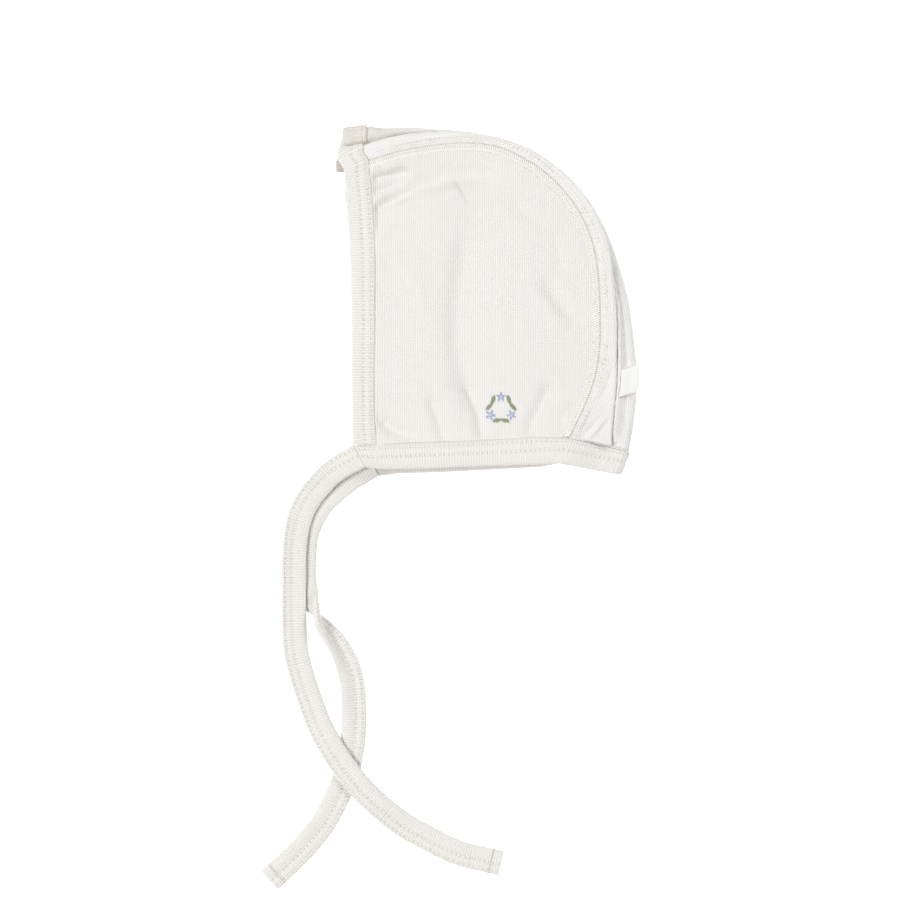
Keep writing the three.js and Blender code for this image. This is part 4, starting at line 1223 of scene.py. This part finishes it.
def thread_piece(name, batches):
    """One object from several batches of tubes."""
    faces, first = [], 0
    for batch_points, batch_faces in batches:
        faces += [[corner + first for corner in face] for face in batch_faces]
        first += len(batch_points)
    points = np.concatenate([batch_points for batch_points, _ in batches])
    dress(add_mesh(name, points, faces), sewing_thread)


def row_of_stitches(line, normal, pitch, gap, thickness=THREAD, sink=0.00016, rise=0.0001):
    """Stitches end to end along one line on the cloth."""
    travelled = lengths_along(line)
    starts = np.arange(0, travelled[-1] - pitch, pitch)
    share = np.linspace(0, 1, 5)
    at = starts[:, None] + gap / 2 + (pitch - gap) * share
    up = unit(line_at(normal, travelled, at))
    arch = -sink + (sink + rise) * np.sin(math.pi * share)
    return tubes(line_at(line, travelled, at) + up * arch[:, None], up, thickness * ENDS_THIN)


# %% Stitches on the bindings and ties
STITCH_GAP = 0.0004
HEM_STITCH = 0.0018
HEM_GAP = 0.0003
HEM_SHARES = np.linspace(-0.44, 0.42, 24)
# where each loose end of thread starts, where it ends, and how far it bows
LOOSE_ENDS = [
    ((0.0012, -0.2632, 0.0006), (-0.0021, -0.2668, 0.0002), 0.0007),
    ((-0.0918, -0.2684, 0.0006), (-0.0893, -0.2697, 0.0002), -0.0005),
    ((-0.0612, 0.0296, 0.0112), (-0.0644, 0.0303, 0.0108), 0.0004),
    ((-0.0612, 0.0288, 0.0112), (-0.0640, 0.0281, 0.0107), -0.0003),
]
batches = []
for travelled, points, normals in (face_lines, neck_lines):
    for share in BAND_ROWS:
        offset = np.mean(tape_offset(share, travelled)[0]) + SKIN_DEPTH
        line = points[share] + normals[share] * offset
        batches.append(row_of_stitches(line, normals[share], STITCH, STITCH_GAP))
thread_piece("binding_stitches", batches)

batches = []
for lines in (near_tie_lines, far_tie_lines):
    travelled = lines[0]
    for share in TIE_ROWS:
        rise = np.mean(tape_relief(share, travelled, TIE_ROWS, TIE_SWELL)[0])
        across = band_share(share, travelled) - 0.5
        for side in (1, -1):
            line, normal = ribbon_point(lines, across, side * (half_thickness(travelled) + rise))
            batches.append(row_of_stitches(line, normal * side, STITCH, STITCH_GAP))
    at_hem = int(np.searchsorted(travelled, travelled[-1] - HEM["long"] * HEM_ROW["at"]))
    station = [part[at_hem:at_hem + 1] for part in lines]
    row = [ribbon_point(station, share, TIE["thick"] / 2) for share in HEM_SHARES]
    line, normal = (np.concatenate(parts) for parts in zip(*row))
    batches.append(row_of_stitches(line, normal, HEM_STITCH, HEM_GAP))
for start, end, bow in LOOSE_ENDS:
    start, end = np.array(start), np.array(end)
    share = np.linspace(0, 1, 9)[:, None]
    aside = np.array([start[1] - end[1], end[0] - start[0], 0]) / np.linalg.norm(end - start)
    path = start + (end - start) * share + aside * bow * np.sin(math.pi * share)
    up = np.tile([0.0, 0.0, 1.0], (1, len(path), 1))
    batches.append(tubes(path[None], up, np.full(len(path), LOOSE_THREAD)))
thread_piece("tie_stitches", batches)

# %% [markdown]
# ## Flatlock seams
# The panels meet the strip edge to edge under a flat cover of thread about 6 mm wide. On the
# panel side two rows of thick threads lean against each other like a herringbone, with a chain
# of small stitches beyond them. A finely dotted line shows where the edges meet. On the strip
# side thin threads cross to a row of single stitches.

# %% Threads across a seam
# how far outside the seam a slanting thread begins and ends, its lead, pitch and radius
SLANTS = (
    (0.0002, -0.0016, 0.0012, 0.00105, 0.00038),
    (-0.0014, -0.0031, -0.0010, 0.00105, 0.00037),
    (0.0010, 0.0031, 0.0010, 0.0021, 0.00017),
)
# how far outside the seam a row of stitches runs, the gap between two and how deep their ends sink
CHAINS = ((-0.0030, 0.0002, 0.00006), (0.0033, 0.0008, 0.0001))
CHAIN_PITCH = 0.0021
CHAIN_THREAD = 1.1 * THREAD
CHAIN_RISE = 0.0002
SLANT_MARGIN = 0.0004
SLANT_TOP = 0.00028
SLANT_ARCH = 0.0001


def across_seam(at, distance, side):
    """Places beside the seam; distance is outwards, side is 1 for the near seam, -1 for the far."""
    seam, outward, far_seam = seam_frame(at)
    xy = (seam if side > 0 else far_seam) + outward * np.asarray(distance)[..., None]
    x, y = xy[..., 0], xy[..., 1]
    if side > 0:
        z = np.where(distance > 0, near_height(seam[..., 0], seam[..., 1]), near_height(x, y))
        z = z + KNIT / 2 + folds_height(x, y, FINE_CREASES) * (distance <= 0)
    else:
        z = far_height(x, y) - KNIT / 2
    return np.stack([x, y, z], axis=-1), np.broadcast_to([0.0, 0.0, float(side)], (*z.shape, 3))


def flatlock(name, side):
    """All the threads of one flatlock seam."""
    stations = np.linspace(0.85, LAST_ROW - 0.9, 1600)
    travelled = lengths_along(across_seam(stations, 0.0, side)[0])
    made = []
    for distance, gap, sink in CHAINS:
        chain, up = across_seam(stations, distance, side)
        made.append(row_of_stitches(chain, up, CHAIN_PITCH, gap, CHAIN_THREAD, sink, CHAIN_RISE))
    share = np.linspace(0, 1, 5)
    for start, end, lead, pitch, radius in SLANTS:
        first = SLANT_MARGIN + max(0, -lead)
        begin = np.arange(first, travelled[-1] - max(0, lead) - SLANT_MARGIN, pitch)
        at = np.interp(begin[:, None] + lead * share, travelled, stations)
        path, up = across_seam(at, np.broadcast_to(start + (end - start) * share, at.shape), side)
        arch = SLANT_TOP - radius + SLANT_ARCH * np.sin(math.pi * share)
        made.append(tubes(path + up * arch[:, None], up, radius * np.minimum(ENDS_THIN, 1)))
    thread_piece(name, made)


flatlock("near_flatlock_stitches", 1)
flatlock("far_flatlock_stitches", -1)

# %% [markdown]
# ## The label
# A loop of smooth white tape is caught in the folds of the strip at the back of the head. It is
# bare. The tape is folded once, so its outer end is a soft fold, and its upper layer reaches a
# little further into the strip.

# %% Label
LABEL = {
    "x": 0.0664, "y": -0.0371, "z": 0.0104, "slant": 19,
    "long": 0.0081, "wide": 0.0124, "thick": 0.0013, "wall": 0.00038, "further": 0.0006,
}
# how the label leans, fans out, waves and droops, and how it is lifted where it leaves the strip
LABEL_SHAPE = {"skew": 0.0008, "middle": 0.0006, "fan": 0.0008, "wave": 0.00035, "droop": 0.0004}
LABEL_LIFT = {"rise": 0.001, "reach": 0.0055}
WEAVE = 0.0004
LABEL_LIGHT = linear(229, 229, 228)
LABEL_SHADE = linear(219, 219, 219)


def label_material():
    """Smooth woven tape."""
    material, wire = new_material("label_tape")
    place = wire.node("ShaderNodeUVMap", {"uv_map": "knit"})
    weave = wire.node("ShaderNodeTexChecker", None, {"Vector": place, "Scale": 1.0}, output=1)
    colour = (weave * 0.5 + 0.5).blend(LABEL_SHADE, LABEL_LIGHT)
    bump = wire.bump(0.5, 0.00003, weave)
    finish_material(wire, colour, 0.55, 0.4, {"Normal": bump, "Sheen Weight": 0.15})
    return material


def label_section():
    """Section along the label: its outer face round the fold and back, then its inner face."""
    half = LABEL["thick"] / 2
    end = LABEL["long"] / 2 - half
    straight = np.linspace(-LABEL["long"] / 2, end, 16)[:-1]
    turn = np.linspace(-math.pi / 2, math.pi / 2, 13)
    faces = []
    for bend in (half, half - LABEL["wall"]):
        along = [straight, end + bend * np.cos(turn), straight[::-1] - LABEL["further"]]
        level = np.full(len(straight), bend)
        up = [-level, bend * np.sin(turn), level]
        faces.append(np.column_stack([np.concatenate(along), np.concatenate(up)]))
    return np.concatenate([faces[0], faces[1][::-1]]).T


def make_label():
    """The label as rows of its section, with a soft bow and lifted where it leaves the strip."""
    along, up = label_section()
    share = np.linspace(-0.5, 0.5, 29)[:, None]
    part = along / LABEL["long"]
    x = along + LABEL_SHAPE["skew"] * share + LABEL_SHAPE["middle"] * (1 - (2 * share) ** 2)
    y = share * LABEL["wide"] + LABEL_SHAPE["fan"] * part * share
    bow = LABEL_SHAPE["wave"] * np.sin(part * 3 + 0.6) - LABEL_SHAPE["droop"] * (2 * abs(share)) ** 3
    lift = 1 - smooth((x + LABEL["long"] / 2) / LABEL_LIFT["reach"])
    bow = bow + LABEL_LIFT["rise"] * lift
    y = y + x * math.tan(math.radians(LABEL["slant"]))
    rings = np.stack([LABEL["x"] + x, LABEL["y"] + y, LABEL["z"] + up + bow], axis=-1)
    piece = ring_body("label_tape", rings, knit_grid(along, share * LABEL["wide"]) / WEAVE)
    dress(piece, label_material(), "label")


make_label()

# %% [markdown]
# ## Table and light
# The photo's ground is pure white and its light is very soft, a little stronger from the left.
# A faintly warm sky does most of the work. A large lamp to the left gives the folds their shape,
# and a wider and weaker one on the other side keeps their far slopes light. The table gives off a
# little light of its own, so that it comes out white right up to the cloth.

# %% Table
TABLE_GLOW = 0.55
TABLE_GREYS = ((0.93, 0.93, 0.93, 1), (0.95, 0.95, 0.95, 1))
bpy.ops.object.select_all(action="DESELECT")
bpy.ops.mesh.primitive_plane_add(size=6, location=(0, 0, -0.0002))
table = bpy.context.active_object
table.name = "table_top"
table_material, wire = new_material("table_white")
finish_material(wire, wire.noise(4.0, 1.0).blend(*TABLE_GREYS), 0.9, 0.1, {
    "Emission Color": (1, 1, 1, 1), "Emission Strength": TABLE_GLOW,
})
table.data.materials.append(table_material)

# %% Light
SKY_COLOUR = (1, 0.985, 0.95, 1)
SKY_STRENGTH = 0.385
# name, place, size and brightness
SOFTBOXES = (
    ("key_softbox", (-1.85, -0.75, 2.85), 1.3, 0.61),
    ("fill_softbox", (2.2, 1.9, 2.6), 1.8, 0.29),
)
scene = bpy.context.scene
scene.world = bpy.data.worlds.new("soft_sky")
scene.world.use_nodes = True
sky = scene.world.node_tree.nodes["Background"]
sky.inputs["Color"].default_value = SKY_COLOUR
sky.inputs["Strength"].default_value = SKY_STRENGTH


def softbox(name, place, size, brightness):
    """A square lamp facing the bonnet, as bright on it as a sky of that strength."""
    place = np.array(place, float)
    distance = np.linalg.norm(place)
    light = bpy.data.lights.new(name, "AREA")
    light.shape = "SQUARE"
    light.size = size
    light.energy = brightness * (math.pi * distance) ** 2 / (place[2] / distance)
    lamp = place_object(name, light)
    lamp.location = place
    toward = -place / distance
    around = math.atan2(toward[1], toward[0]) - math.pi / 2
    lamp.rotation_euler = (math.acos(-toward[2]), 0, around)


for row in SOFTBOXES:
    softbox(*row)
scene.view_settings.view_transform = "Standard"
scene.view_settings.look = "None"
print("lamps:", [name for name, *_ in SOFTBOXES])
